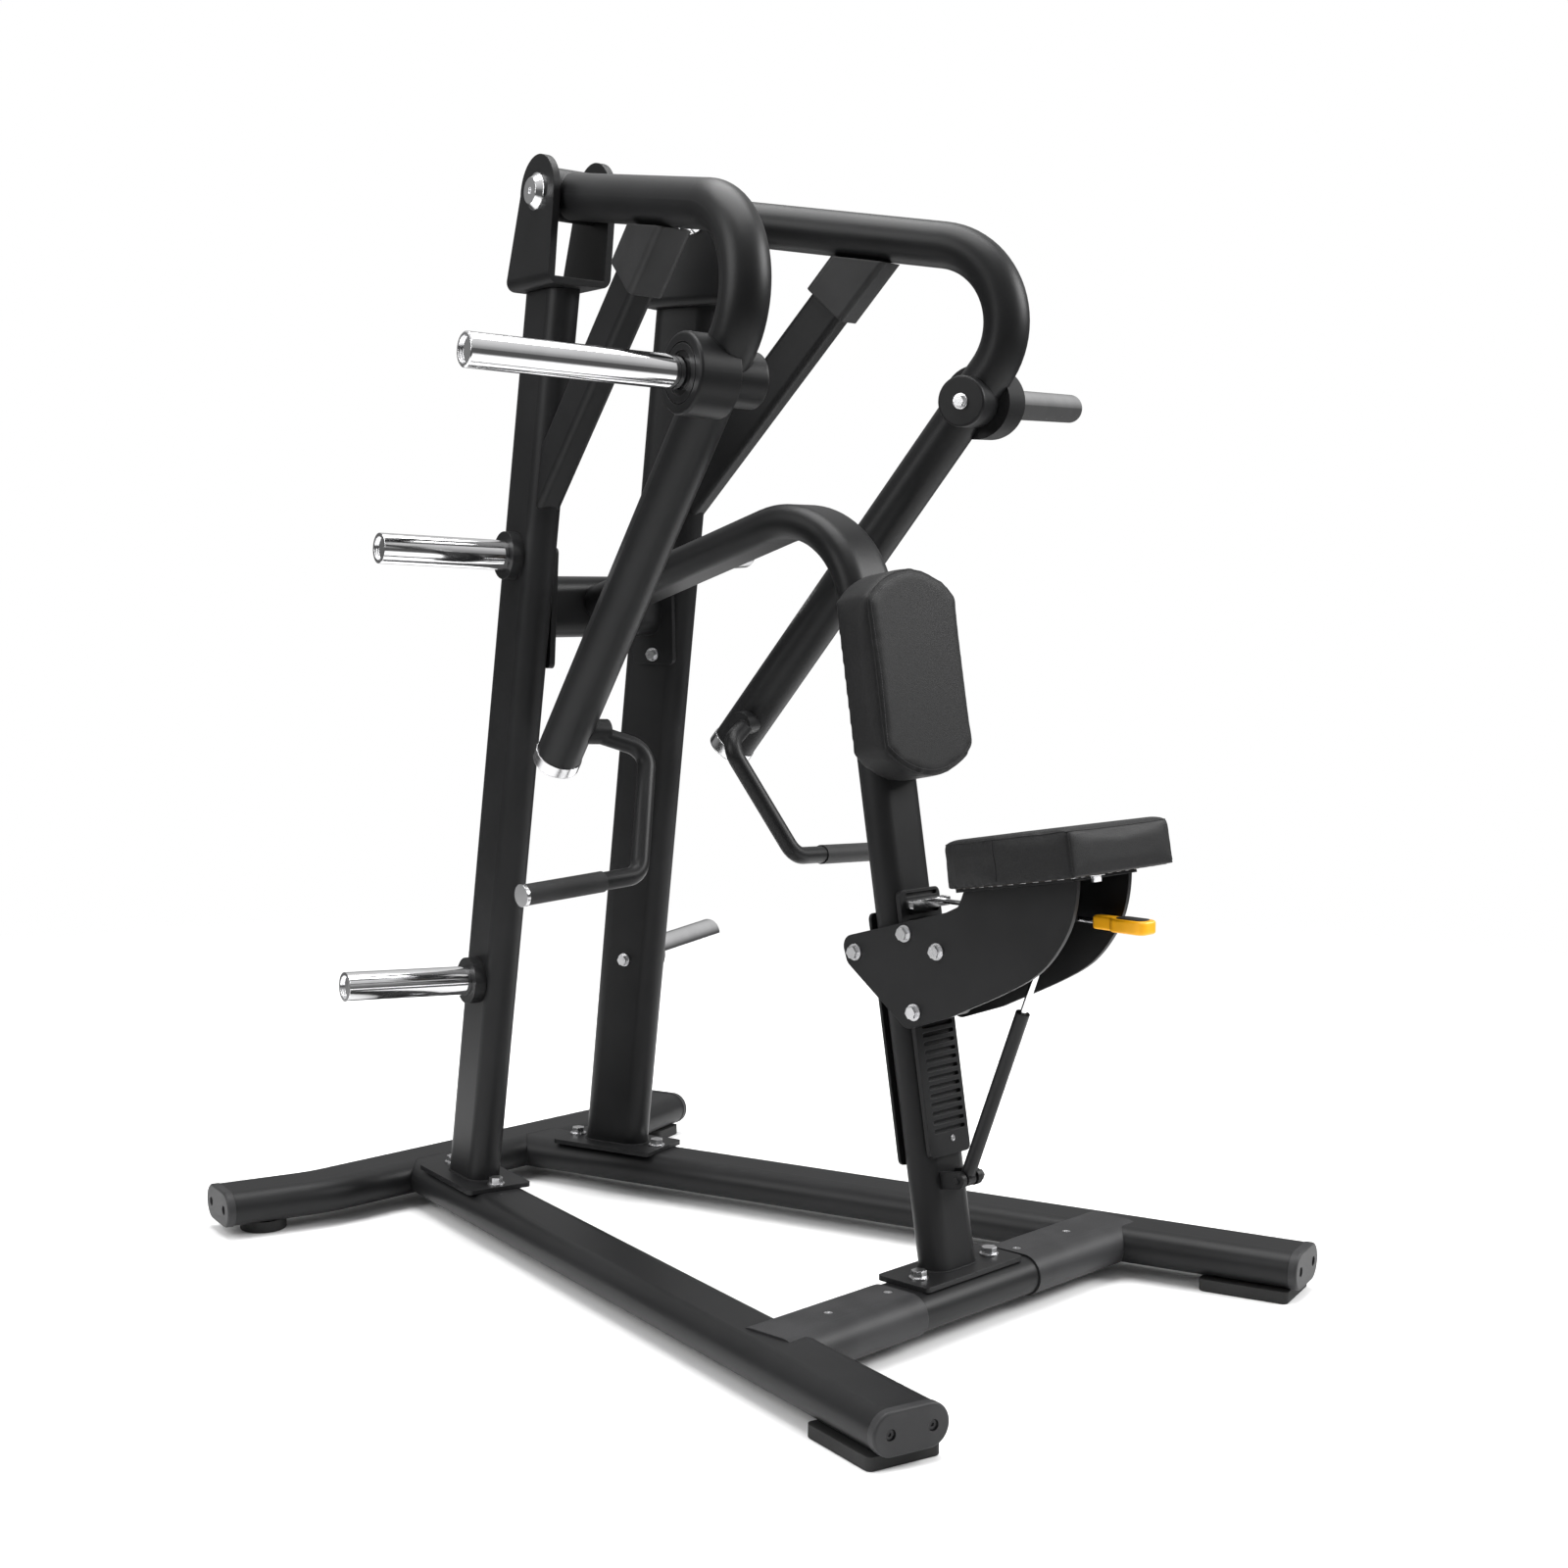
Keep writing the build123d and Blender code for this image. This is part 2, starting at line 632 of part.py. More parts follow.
with BuildPart() as upper_beam:
    beam_oval(BEAM_H, BEAM_T, Mode.ADD)
    beam_oval(BEAM_H - 2 * WALL, BEAM_T - 2 * WALL, Mode.SUBTRACT)
    add(beam_trim.part, mode=Mode.SUBTRACT)
    with BuildSketch(flange_plane):
        RectangleRounded(84, 204, 10)
        with Locations((0, -84), (0, 84)):
            Circle(6.5, mode=Mode.SUBTRACT)
    plate = extrude(amount=FLANGE_T)
    mirror(plate, about=Plane.YZ)
save(upper_beam, "upper_beam")

with BuildPart() as beam_solid:
    beam_oval(BEAM_H, BEAM_T, Mode.ADD)
    add(beam_trim.part, mode=Mode.SUBTRACT)

with BuildPart() as beam_bolts:
    bolt_seat = flange_plane.offset(FLANGE_T)
    with BuildSketch(bolt_seat):
        with Locations((0, -84), (0, 84)):
            Circle(12)
    extrude(amount=2.5)
    with BuildSketch(bolt_seat.offset(2.5)):
        with Locations((0, -84), (0, 84)):
            RegularPolygon(9.5, 6)
    extrude(amount=8)
    drum(bolt_seat, [(0, -84), (0, 84)], 6, -FLANGE_T)
    mirror(about=Plane.YZ)
save(beam_bolts, "beam_bolts")

y_turn = post_y(POST_TURN_Z)
post_start = Vector(0, post_y(50), 50)
post_path_pts = [(post_start.Y, post_start.Z), (y_turn, POST_TURN_Z), (y_beam, BEAM_Z)]


def post_sweep(width, height, mode):
    """Flat oval along the seat post and its bent top."""
    with BuildLine(Plane.YZ) as path:
        FilletPolyline(*post_path_pts, radius=POST_BEND)
    with BuildSketch(Plane(origin=post_start, x_dir=(1, 0, 0), z_dir=path.line % 0)) as ring:
        SlotOverall(width, height)
    sweep(ring.sketch, path=path.line, mode=mode)


with BuildPart() as seat_post:
    post_sweep(POST_W, POST_T, Mode.ADD)
    post_sweep(POST_W - 2 * WALL, POST_T - 2 * WALL, Mode.SUBTRACT)
    split(bisect_by=Plane.XY.offset(DECK), keep=Keep.TOP)
    add(beam_solid.part, mode=Mode.SUBTRACT)
save(seat_post, "seat_post")

# ---------------------------------------------------------------- storage horns
horn_feet = [on_upright(z) for z in (STORE_LOW_Z, STORE_HIGH_Z)]
flat_out = flat_dir * -1
horn_planes = [Plane(origin=p + flat_out * flat_in, x_dir=ES, z_dir=flat_out) for p in horn_feet]
inner_planes = [Plane(origin=p + flat_dir * flat_in, x_dir=ES, z_dir=flat_dir) for p in horn_feet]
HORN_LEN = STORE_HORN_END - flat_in
COLLAR_T = 20.0

with BuildPart() as storage_horns:
    for spot in horn_planes:
        drum(spot, [(0, 0)], ROOT_R, COLLAR_T + NECK)
        drum(spot.offset(COLLAR_T + NECK), [(0, 0)], HORN_R, HORN_LEN - COLLAR_T - NECK)
        cut_drum(spot.offset(HORN_LEN + 1), [(0, 0)], 19, -5)
    mirror(about=Plane.YZ)
save(storage_horns, "storage_horns")

with BuildPart() as horn_collars:
    for spot in horn_planes:
        drum(spot, [(0, 0)], 40, COLLAR_T)
        cut_drum(spot, [(0, 0)], ROOT_R, COLLAR_T)
    mirror(about=Plane.YZ)
save(horn_collars, "horn_collars")

with BuildPart() as horn_bolts:
    drum(inner_planes[0], [(0, 0)], 12, 2.5)
    with BuildSketch(inner_planes[0].offset(2.5)):
        RegularPolygon(9.5, 6)
    extrude(amount=8)
    mirror(about=Plane.YZ)
save(horn_bolts, "horn_bolts")

# ---------------------------------------------------------------- chest pad
PAD_HALF_W, PAD_MID_U = 109.0, 317.0
PAD_HALF_H, PAD_SAG = 117.0, 46.0
PAD_BACK, PAD_FRONT, BOARD_T = 39.0, 96.5, 11.0


def pad_outline(inset):
    """Pad face: straight sides with arched top and bottom."""
    half, tall, sag = PAD_HALF_W - inset, PAD_HALF_H - inset * 0.5, PAD_SAG - inset * 0.4
    with BuildLine() as rim:
        Line((half, PAD_MID_U - tall), (half, PAD_MID_U + tall))
        ThreePointArc((half, PAD_MID_U + tall), (0, PAD_MID_U + tall + sag), (-half, PAD_MID_U + tall))
        Line((-half, PAD_MID_U + tall), (-half, PAD_MID_U - tall))
        ThreePointArc((-half, PAD_MID_U - tall), (0, PAD_MID_U - tall - sag), (half, PAD_MID_U - tall))
    make_face(rim.edges())


with BuildPart() as pad_board:
    with BuildSketch(face_plane(PAD_BACK - BOARD_T)):
        pad_outline(10)
    extrude(amount=BOARD_T)
    fillet(pad_board.edges().filter_by(Axis(SEAT_O, EW)), 14)
save(pad_board, "pad_board")

with BuildPart() as chest_pad:
    with BuildSketch(face_plane(PAD_BACK - BOARD_T)):
        pad_outline(0)
    extrude(amount=PAD_FRONT - PAD_BACK + BOARD_T)
    fillet(chest_pad.edges().filter_by(Axis(SEAT_O, EW)), 22)
    fillet(chest_pad.faces().sort_by(Axis(SEAT_O, EW))[-1].edges(), 10)
    add(pad_board.part, mode=Mode.SUBTRACT)
save(chest_pad, "chest_pad")

# ---------------------------------------------------------------- ladder and guides
FACE_W = POST_T / 2
LADDER_LOW, LADDER_HIGH = -424.0, -12.0
LADDER_MID = (LADDER_LOW + LADDER_HIGH) / 2
SLOT_H, SLOT_D = 6.4, 5.5
LATCH_U = (ROD_Z - SEAT_Z - EW.Z * (FACE_W + LADDER_T - SLOT_D / 2)) / EU.Z
SLOTS_ABOVE, SLOTS_BELOW = 1, 26
slot_spots = [(4, LATCH_U - LADDER_PITCH * i) for i in range(-SLOTS_ABOVE, SLOTS_BELOW + 1)]

with BuildPart() as ladder_plate:
    with BuildSketch(face_plane(FACE_W)):
        with Locations((0, LADDER_MID)):
            RectangleRounded(LADDER_W, LADDER_HIGH - LADDER_LOW, 10)
    extrude(amount=LADDER_T)
    with BuildSketch(face_plane(FACE_W + LADDER_T - SLOT_D)):
        with Locations(*slot_spots):
            SlotOverall(74, SLOT_H)
    extrude(amount=SLOT_D, mode=Mode.SUBTRACT)
    cut_drum(face_plane(FACE_W + LADDER_T - 4), [(8, -400)], 5, 5)
save(ladder_plate, "ladder_plate")

with BuildPart() as guide_strip:
    with BuildSketch(face_plane(-FACE_W - GUIDE_T)):
        with Locations((0, -238)):
            RectangleRounded(LADDER_W, 392, 10)
    extrude(amount=GUIDE_T)
save(guide_strip, "guide_strip")

with BuildPart() as ladder_screws:
    drum(face_plane(FACE_W + LADDER_T - 4), [(8, -400)], 4.6, 5)
    cut_drum(face_plane(FACE_W + LADDER_T - 1), [(8, -400)], 2.2, 3)
save(ladder_screws, "ladder_screw")

STRUT_FOOT = Vector(0, -36 - FOOT_MID_Y, 230)
STRUT_TOP = Vector(0, -196 - FOOT_MID_Y, 655)
PIN_R = 5.0
foot_w = (STRUT_FOOT - SEAT_O).dot(EW)
foot_u = (STRUT_FOOT - SEAT_O).dot(EU)
with BuildPart() as strut_bracket:
    for x_out in (24, -14):
        with BuildSketch(seat_plane(x_out)):
            with Locations(((FACE_W + foot_w) / 2, foot_u)):
                Rectangle(foot_w - FACE_W, 26)
            with Locations((foot_w, foot_u)):
                Circle(13)
        extrude(amount=10)
    with BuildSketch(seat_plane(34)):
        with Locations((foot_w, foot_u)):
            Circle(PIN_R)
    extrude(amount=62)
    with BuildSketch(seat_plane(34)):
        with Locations((foot_w, foot_u)):
            RegularPolygon(9, 6)
    extrude(amount=10)
save(strut_bracket, "strut_bracket")

# ---------------------------------------------------------------- seat carriage
FRONT_ROLL_W = FACE_W + LADDER_T + ROLLER_R + ROLL_GAP
REAR_ROLL_W = -(FACE_W + GUIDE_T + ROLLER_R + ROLL_GAP)
AXLES = [(REAR_ROLL_W, -98), (FRONT_ROLL_W, -76), (FRONT_ROLL_W + 0.0, -196)]
TIE = (113.0, -107.0)
PLATE_TOP = -22.0
plate_t = PLATE_OUT - PLATE_IN

curve = [
    (122, -207),
    (168, -194),
    (258, -167),
    (301, -148),
    (338, -118),
    (361, -90),
    (378, -54),
    (386, PLATE_TOP),
]
tail = [
    (178, PLATE_TOP),
    (165, -43),
    (140, -50),
    (46, -60),
    (-76, -73),
    (-70, -113),
    (34, -222),
]
with BuildPart() as carriage_plates:
    with BuildSketch(seat_plane(PLATE_OUT)):
        with BuildLine():
            Polyline(curve[-1], *tail, curve[0])
            Spline(*curve)
        make_face()
    extrude(amount=plate_t)
    across = carriage_plates.edges().filter_by(Axis.X)

    def near(w, u, reach):
        """Edges across the plate close to a point of its outline."""
        spot = at_post(w, u, PLATE_OUT - plate_t / 2)
        return [e for e in across if (e.center() - spot).length < reach]

    fillet(near(-76, -73, 3) + near(-70, -113, 3) + near(34, -222, 3), 19)
    notch = at_post(165, -43, PLATE_OUT - plate_t / 2)
    across = carriage_plates.edges().filter_by(Axis.X)
    fillet(across.filter_by(lambda e: (e.center() - notch).length < 2), 12)
    cut_drum(seat_plane(PLATE_OUT + 1), AXLES + [TIE], AXLE_R, plate_t + 2)
    mirror(about=Plane.YZ)
save(carriage_plates, "carriage_plates")

with BuildPart() as seat_bracket:
    with BuildSketch(seat_plane(78)):
        with Locations((280, PLATE_TOP + 3)):
            Rectangle(216, 6)
    extrude(amount=156)
    with BuildSketch(seat_plane(PLATE_IN)):
        with Locations(TIE):
            Circle(13)
        with Locations((TIE[0], TIE[1] + 26)):
            Rectangle(22, 52)
    extrude(amount=2 * PLATE_IN)
    cut_drum(seat_plane(PLATE_IN + 1), [TIE], AXLE_R, 2 * PLATE_IN + 2)
    with BuildSketch(Plane(origin=(ROD_X, 60 - FOOT_MID_Y, ROD_Z), x_dir=(1, 0, 0), z_dir=(0, -1, 0))):
        Circle(ROD_R + RUN_GAP)
    extrude(amount=200, mode=Mode.SUBTRACT)
    top_w = (STRUT_TOP - SEAT_O).dot(EW)
    top_u = (STRUT_TOP - SEAT_O).dot(EU)
    for x_out in (30, -22):
        with BuildSketch(seat_plane(x_out)):
            with Locations((top_w, (top_u - 14 + PLATE_TOP) / 2)):
                Rectangle(30, PLATE_TOP - top_u + 14)
        extrude(amount=8)
    with BuildSketch(seat_plane(30)):
        with Locations((top_w, top_u)):
            Circle(PIN_R)
    extrude(amount=60)
save(seat_bracket, "seat_bracket")

with BuildPart() as carriage_bolts:
    drum(seat_plane(PLATE_OUT + 2.5), AXLES + [TIE], AXLE_R, 2 * PLATE_OUT + 5)
    drum(seat_plane(PLATE_OUT + 2.5), AXLES + [TIE], 13, 2.5)
    drum(seat_plane(-PLATE_OUT), AXLES + [TIE], 13, 2.5)
    for x_out in (PLATE_OUT + 10.5, -PLATE_OUT - 2.5):
        with BuildSketch(seat_plane(x_out)):
            with Locations(*(AXLES + [TIE])):
                RegularPolygon(10, 6)
        extrude(amount=8)
save(carriage_bolts, "carriage_bolts")

for label, spot in zip(("roller_rear", "roller_upper", "roller_lower"), AXLES):
    with BuildPart() as roller:
        drum(seat_plane(ROLLER_LEN / 2), [spot], ROLLER_R, ROLLER_LEN)
        chamfer(roller.edges().filter_by(GeomType.CIRCLE), 2)
        cut_drum(seat_plane(ROLLER_LEN / 2), [spot], AXLE_R + RUN_GAP, ROLLER_LEN)
    save(roller, label)

SEAT_BACK, SEAT_FRONT = 172.0, 425.0
SEAT_LOW, SEAT_TOP, BOARD_LOW = -4.0, 55.0, -16.0
SEAT_HALF = 133.0


def seat_outline(inset):
    """Seat from above: front at full width, narrowing behind a corner."""
    with BuildLine() as rim:
        Polyline(
            (SEAT_BACK + inset, -102 + inset),
            (SEAT_BACK + 118, -SEAT_HALF + inset),
            (SEAT_FRONT - inset, -SEAT_HALF + 6 + inset),
            (SEAT_FRONT - inset, SEAT_HALF - 6 - inset),
            (SEAT_BACK + 118, SEAT_HALF - inset),
            (SEAT_BACK + inset, 102 - inset),
            close=True,
        )
    make_face(rim.edges())


def deck(u):
    """Plane across the post at u; local x forward, extrudes up."""
    return Plane(origin=at_post(0, u), x_dir=EW, z_dir=EU)


with BuildPart() as seat_board:
    with BuildSketch(deck(BOARD_LOW)):
        seat_outline(10)
    extrude(amount=SEAT_LOW - BOARD_LOW)
save(seat_board, "seat_board")

with BuildPart() as seat_cushion:
    with BuildSketch(deck(BOARD_LOW)):
        seat_outline(0)
    extrude(amount=SEAT_TOP - BOARD_LOW)
    fillet(seat_cushion.edges().filter_by(Axis(SEAT_O, EU)), 16)
    fillet(seat_cushion.faces().sort_by(Axis(SEAT_O, EU))[-1].edges(), 8)
    add(seat_board.part, mode=Mode.SUBTRACT)
save(seat_cushion, "seat_cushion")

# ---------------------------------------------------------------- release pull
TOOTH_W, TOOTH_T = 60.0, 3.0
TOOTH_CLEAR = 0.8  # the tooth stands just off the ladder, clear at any seat height
tooth_y = at_post(FACE_W + LADDER_T + TOOTH_CLEAR, LATCH_U).Y
BLOCK_Y = at_post(FACE_W + LADDER_T + 3.0, LATCH_U).Y
GRIP_Y = -238.0 - FOOT_MID_Y
with BuildPart() as release_rod:
    with BuildSketch(Plane(origin=(0, tooth_y, ROD_Z), x_dir=(1, 0, 0), z_dir=(0, -1, 0))):
        Rectangle(TOOTH_W, TOOTH_T)
    extrude(amount=tooth_y - BLOCK_Y + 1)
    with BuildSketch(Plane(origin=(7, BLOCK_Y, ROD_Z), x_dir=(1, 0, 0), z_dir=(0, -1, 0))):
        RectangleRounded(90, 14, 3)
    extrude(amount=14)
    with BuildSketch(Plane(origin=(ROD_X, BLOCK_Y - 13, ROD_Z), x_dir=(1, 0, 0), z_dir=(0, -1, 0))):
        Circle(ROD_R)
    extrude(amount=BLOCK_Y - 13 - GRIP_Y + 40)
save(release_rod, "release_rod")

with BuildPart() as release_grip:
    with BuildSketch(Plane(origin=(ROD_X, GRIP_Y, ROD_Z - 10), x_dir=(0, -1, 0), z_dir=UP)):
        with Locations((22, 0)):
            RectangleRounded(44, 22, 8)
        with Locations((66, 0)):
            RectangleRounded(64, 42, 14)
    extrude(amount=20)
    fillet(release_grip.edges().group_by(Axis.Z)[-1] + release_grip.edges().group_by(Axis.Z)[0], 4)
    with BuildSketch(Plane(origin=(ROD_X, GRIP_Y, ROD_Z + 7), x_dir=(0, -1, 0), z_dir=UP)):
        with Locations((66, 0)):
            RectangleRounded(48, 28, 10)
    extrude(amount=4, mode=Mode.SUBTRACT)
    with BuildSketch(Plane(origin=(ROD_X, GRIP_Y + 1, ROD_Z), x_dir=(1, 0, 0), z_dir=(0, -1, 0))):
        Circle(ROD_R)
    extrude(amount=41, mode=Mode.SUBTRACT)
save(release_grip, "release_grip")

with BuildPart() as grip_insert:
    with BuildSketch(Plane(origin=(ROD_X, GRIP_Y, ROD_Z + 7), x_dir=(0, -1, 0), z_dir=UP)):
        with Locations((66, 0)):
            RectangleRounded(48, 28, 10)
    extrude(amount=4)
save(grip_insert, "grip_insert")

# ---------------------------------------------------------------- gas strut
strut_dir = (STRUT_TOP - STRUT_FOOT).normalized()
STRUT_LEN = (STRUT_TOP - STRUT_FOOT).length
CYL_TOP = 289.0


def along_strut(run):
    """Plane across the strut at a run from its foot."""
    return Plane(origin=STRUT_FOOT + strut_dir * run, x_dir=(1, 0, 0), z_dir=strut_dir)


with BuildPart() as strut_cylinder:
    drum(along_strut(10), [(0, 0)], 11, CYL_TOP - 10)
    with BuildSketch(Plane(origin=STRUT_FOOT + Vector(9, 0, 0), x_dir=strut_dir, z_dir=(-1, 0, 0))):
        Circle(12)
    extrude(amount=18)
    cut_drum(along_strut(24), [(0, 0)], 8.6, CYL_TOP - 30)
    cut_drum(along_strut(CYL_TOP - 8), [(0, 0)], 5 + RUN_GAP, 10)
    with BuildSketch(Plane(origin=STRUT_FOOT + Vector(10, 0, 0), x_dir=strut_dir, z_dir=(-1, 0, 0))):
        Circle(PIN_R + RUN_GAP)
    extrude(amount=20, mode=Mode.SUBTRACT)
save(strut_cylinder, "strut_cylinder")

EYE_R = 19.0
EYE_BORE = 14.0
with BuildPart() as strut_rod:
    drum(along_strut(214), [(0, 0)], 5, STRUT_LEN - 214 - EYE_BORE - 2)
    with BuildSketch(Plane(origin=STRUT_TOP + Vector(8, 0, 0), x_dir=strut_dir, z_dir=(-1, 0, 0))):
        Circle(EYE_R)
    extrude(amount=16)
    with BuildSketch(Plane(origin=STRUT_TOP + Vector(9, 0, 0), x_dir=strut_dir, z_dir=(-1, 0, 0))):
        Circle(EYE_BORE)
    extrude(amount=18, mode=Mode.SUBTRACT)
save(strut_rod, "strut_rod")
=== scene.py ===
"""Plate-loaded seated row machine: finishes, upholstery, small fittings and the studio."""

import json
import logging
import math
from collections.abc import Iterable
from dataclasses import dataclass, field
from enum import Enum

import bmesh
import bpy
from mathutils import Matrix, Vector
from mathutils.bvhtree import BVHTree


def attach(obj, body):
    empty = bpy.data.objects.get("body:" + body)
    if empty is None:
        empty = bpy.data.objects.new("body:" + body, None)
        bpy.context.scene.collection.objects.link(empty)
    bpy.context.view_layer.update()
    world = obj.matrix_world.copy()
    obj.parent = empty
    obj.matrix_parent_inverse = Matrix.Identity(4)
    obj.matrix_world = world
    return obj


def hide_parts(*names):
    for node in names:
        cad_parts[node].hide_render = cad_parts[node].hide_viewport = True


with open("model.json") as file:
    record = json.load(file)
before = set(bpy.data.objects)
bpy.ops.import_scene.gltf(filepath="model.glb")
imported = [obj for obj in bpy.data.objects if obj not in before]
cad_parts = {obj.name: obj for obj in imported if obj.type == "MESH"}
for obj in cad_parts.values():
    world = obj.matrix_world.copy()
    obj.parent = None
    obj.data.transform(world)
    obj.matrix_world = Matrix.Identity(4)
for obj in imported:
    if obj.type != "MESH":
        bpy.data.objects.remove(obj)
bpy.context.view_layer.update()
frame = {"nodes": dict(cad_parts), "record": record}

log = logging.getLogger("row_machine")

Colour = tuple[float, float, float]
MM = 0.001
SPLAY, TILT = math.radians(14.0), math.radians(2.3)  # side frames: open forward, lean inward
POST_LEAN = math.atan(0.1775)  # seat post, toward the tower
POST_FOOT_Y = -446.845  # middle of the seat post's foot, in millimetres
CLOTH_FRAMES = 20
SEAT_MIDDLE, STAPLE_SHARE = 298.0, 0.86  # staples follow the seat's outline, drawn in


# ------------------------------------------------------------------ shader writing
class Sock:
    """A shader socket that can be written into arithmetic."""

    def __init__(self, shade: "Shade", out: bpy.types.NodeSocket) -> None:
        """Wrap one output.

        Args:
            shade: The material the socket belongs to.
            out: The output socket.
        """
        self.shade = shade
        self.out = out

    def _math(self, operation: str, *values: "Sock | float") -> "Sock":
        """Add one Math node.

        Args:
            operation: The Math node's operation.
            *values: Its inputs, in order.

        Returns:
            The node's value.
        """
        inputs = {i: v for i, v in enumerate(values)}
        return self.shade.node("ShaderNodeMath", {"operation": operation}, inputs)

    def __add__(self, other: "Sock | float") -> "Sock":
        """Sum."""
        return self._math("ADD", self, other)

    __radd__ = __add__

    def __sub__(self, other: "Sock | float") -> "Sock":
        """Difference."""
        return self._math("SUBTRACT", self, other)

    def __rsub__(self, other: float) -> "Sock":
        """Difference with the socket on the right."""
        return self._math("SUBTRACT", other, self)

    def __mul__(self, other: "Sock | float") -> "Sock":
        """Product."""
        return self._math("MULTIPLY", self, other)

    __rmul__ = __mul__

    def step(self, low: float, high: float) -> "Sock":
        """Smooth step from 0 at low to 1 at high.

        Args:
            low: Value that gives 0.
            high: Value that gives 1.

        Returns:
            The stepped value.
        """
        settings = {"interpolation_type": "SMOOTHSTEP", "clamp": True}
        inputs = {"Value": self, "From Min": low, "From Max": high, "To Min": 0.0, "To Max": 1.0}
        return self.shade.node("ShaderNodeMapRange", settings, inputs)


class Shade:
    """One material's node tree and the short calls that fill it."""

    def __init__(self, name: str) -> None:
        """Start an empty material.

        Args:
            name: The material's name.
        """
        self.mat = bpy.data.materials.new(name)
        self.mat.use_nodes = True
        self.tree = self.mat.node_tree
        self.tree.nodes.clear()

    def node(
        self,
        kind: str,
        settings: dict[str, object] | None = None,
        inputs: dict[str | int, object] | None = None,
        out: str | int = 0,
    ) -> Sock:
        """Add a node.

        Args:
            kind: The node's type.
            settings: Attributes of the node, set first; "stops" fills a colour ramp.
            inputs: Values or links by socket name, identifier or number.
            out: The output that is returned, by name, identifier or number.

        Returns:
            The chosen output.
        """
        made = self.tree.nodes.new(kind)
        for key, value in (settings or {}).items():
            if key == "stops":
                self._stops(made.color_ramp, value)
            else:
                setattr(made, key, value)
        for key, value in (inputs or {}).items():
            socket = self._find(made.inputs, key)
            if isinstance(value, Sock):
                self.tree.links.new(value.out, socket)
            elif isinstance(value, tuple) and len(value) == 3 and socket.type == "RGBA":
                socket.default_value = (*value, 1.0)
            else:
                socket.default_value = value
        return Sock(self, self._find(made.outputs, out))

    @staticmethod
    def _stops(ramp: bpy.types.ColorRamp, stops: Iterable[tuple[float, Colour]]) -> None:
        """Fill a colour ramp.

        Args:
            ramp: The ramp.
            stops: Places and colours.
        """
        for i, (place, colour) in enumerate(stops):
            if i < 2:
                stop = ramp.elements[i]
                stop.position = place
            else:
                stop = ramp.elements.new(place)
            stop.color = (*colour, 1.0)

    @staticmethod
    def _find(sockets: bpy.types.bpy_prop_collection, key: str | int) -> bpy.types.NodeSocket:
        """Pick a socket by number, identifier or name.

        Args:
            sockets: A node's inputs or outputs.
            key: The number, identifier or name.

        Returns:
            The socket.
        """
        if isinstance(key, int):
            return sockets[key]
        for socket in sockets:
            if socket.identifier == key:
                return socket
        return sockets[key]

    def place(self, scale: Colour = (1.0, 1.0, 1.0)) -> Sock:
        """Object coordinates, stretched.

        Args:
            scale: Stretch along each axis.

        Returns:
            The coordinates.
        """
        at = self.node("ShaderNodeTexCoord", out="Object")
        if scale == (1.0, 1.0, 1.0):
            return at
        return self.node("ShaderNodeMapping", {}, {"Vector": at, "Scale": scale})

    def noise(self, at: Sock, scale: float, detail: float = 2.0, twist: float = 0.0) -> Sock:
        """Noise value around 0.5.

        Args:
            at: Where it is read.
            scale: Cells in a metre.
            detail: Octaves.
            twist: Distortion.

        Returns:
            The value.
        """
        inputs = {"Vector": at, "Scale": scale, "Detail": detail, "Distortion": twist}
        return self.node("ShaderNodeTexNoise", {}, inputs)

    def cells(self, at: Sock, scale: float, feature: str = "F1") -> Sock:
        """Distance inside cells.

        Args:
            at: Where it is read.
            scale: Cells in a metre.
            feature: The Voronoi feature.

        Returns:
            The distance.
        """
        return self.node("ShaderNodeTexVoronoi", {"feature": feature}, {"Vector": at, "Scale": scale})

    def mix(self, share: Sock | float, first: Sock | Colour, second: Sock | Colour) -> Sock:
        """Blend two colours.

        Args:
            share: Share of the second colour.
            first: First colour.
            second: Second colour.

        Returns:
            The blended colour.
        """
        inputs = {"Factor_Float": share, "A_Color": first, "B_Color": second}
        return self.node("ShaderNodeMix", {"data_type": "RGBA"}, inputs, "Result_Color")

    def rounded(self, radius: float) -> Sock:
        """Normal with its edges softened.

        Args:
            radius: Edge radius in metres.

        Returns:
            The normal.
        """
        return self.node("ShaderNodeBevel", {"samples": 4}, {"Radius": radius})

    def edges(self, soft: Sock) -> Sock:
        """Mask that rises on edges; finishes that read it paint the edges lighter, as scuffing and as a
        painted highlight.

        Args:
            soft: The softened normal.

        Returns:
            0 on flats, 1 on edges.
        """
        flat = self.node("ShaderNodeNewGeometry", out="Normal")
        along = self.node("ShaderNodeVectorMath", {"operation": "DOT_PRODUCT"}, {0: soft, 1: flat}, "Value")
        return (1.0 - along).step(0.03, 0.24)

    def bump(self, height: Sock, depth: float, soft: Sock | None = None, strength: float = 1.0) -> Sock:
        """Surface relief.

        Args:
            height: Height from 0 to 1.
            depth: Height in metres at 1.
            soft: Normal that the relief is laid over.
            strength: Share of the relief.

        Returns:
            The normal.
        """
        inputs = {"Strength": strength, "Distance": depth, "Height": height}
        if soft is not None:
            inputs["Normal"] = soft
        return self.node("ShaderNodeBump", {}, inputs)

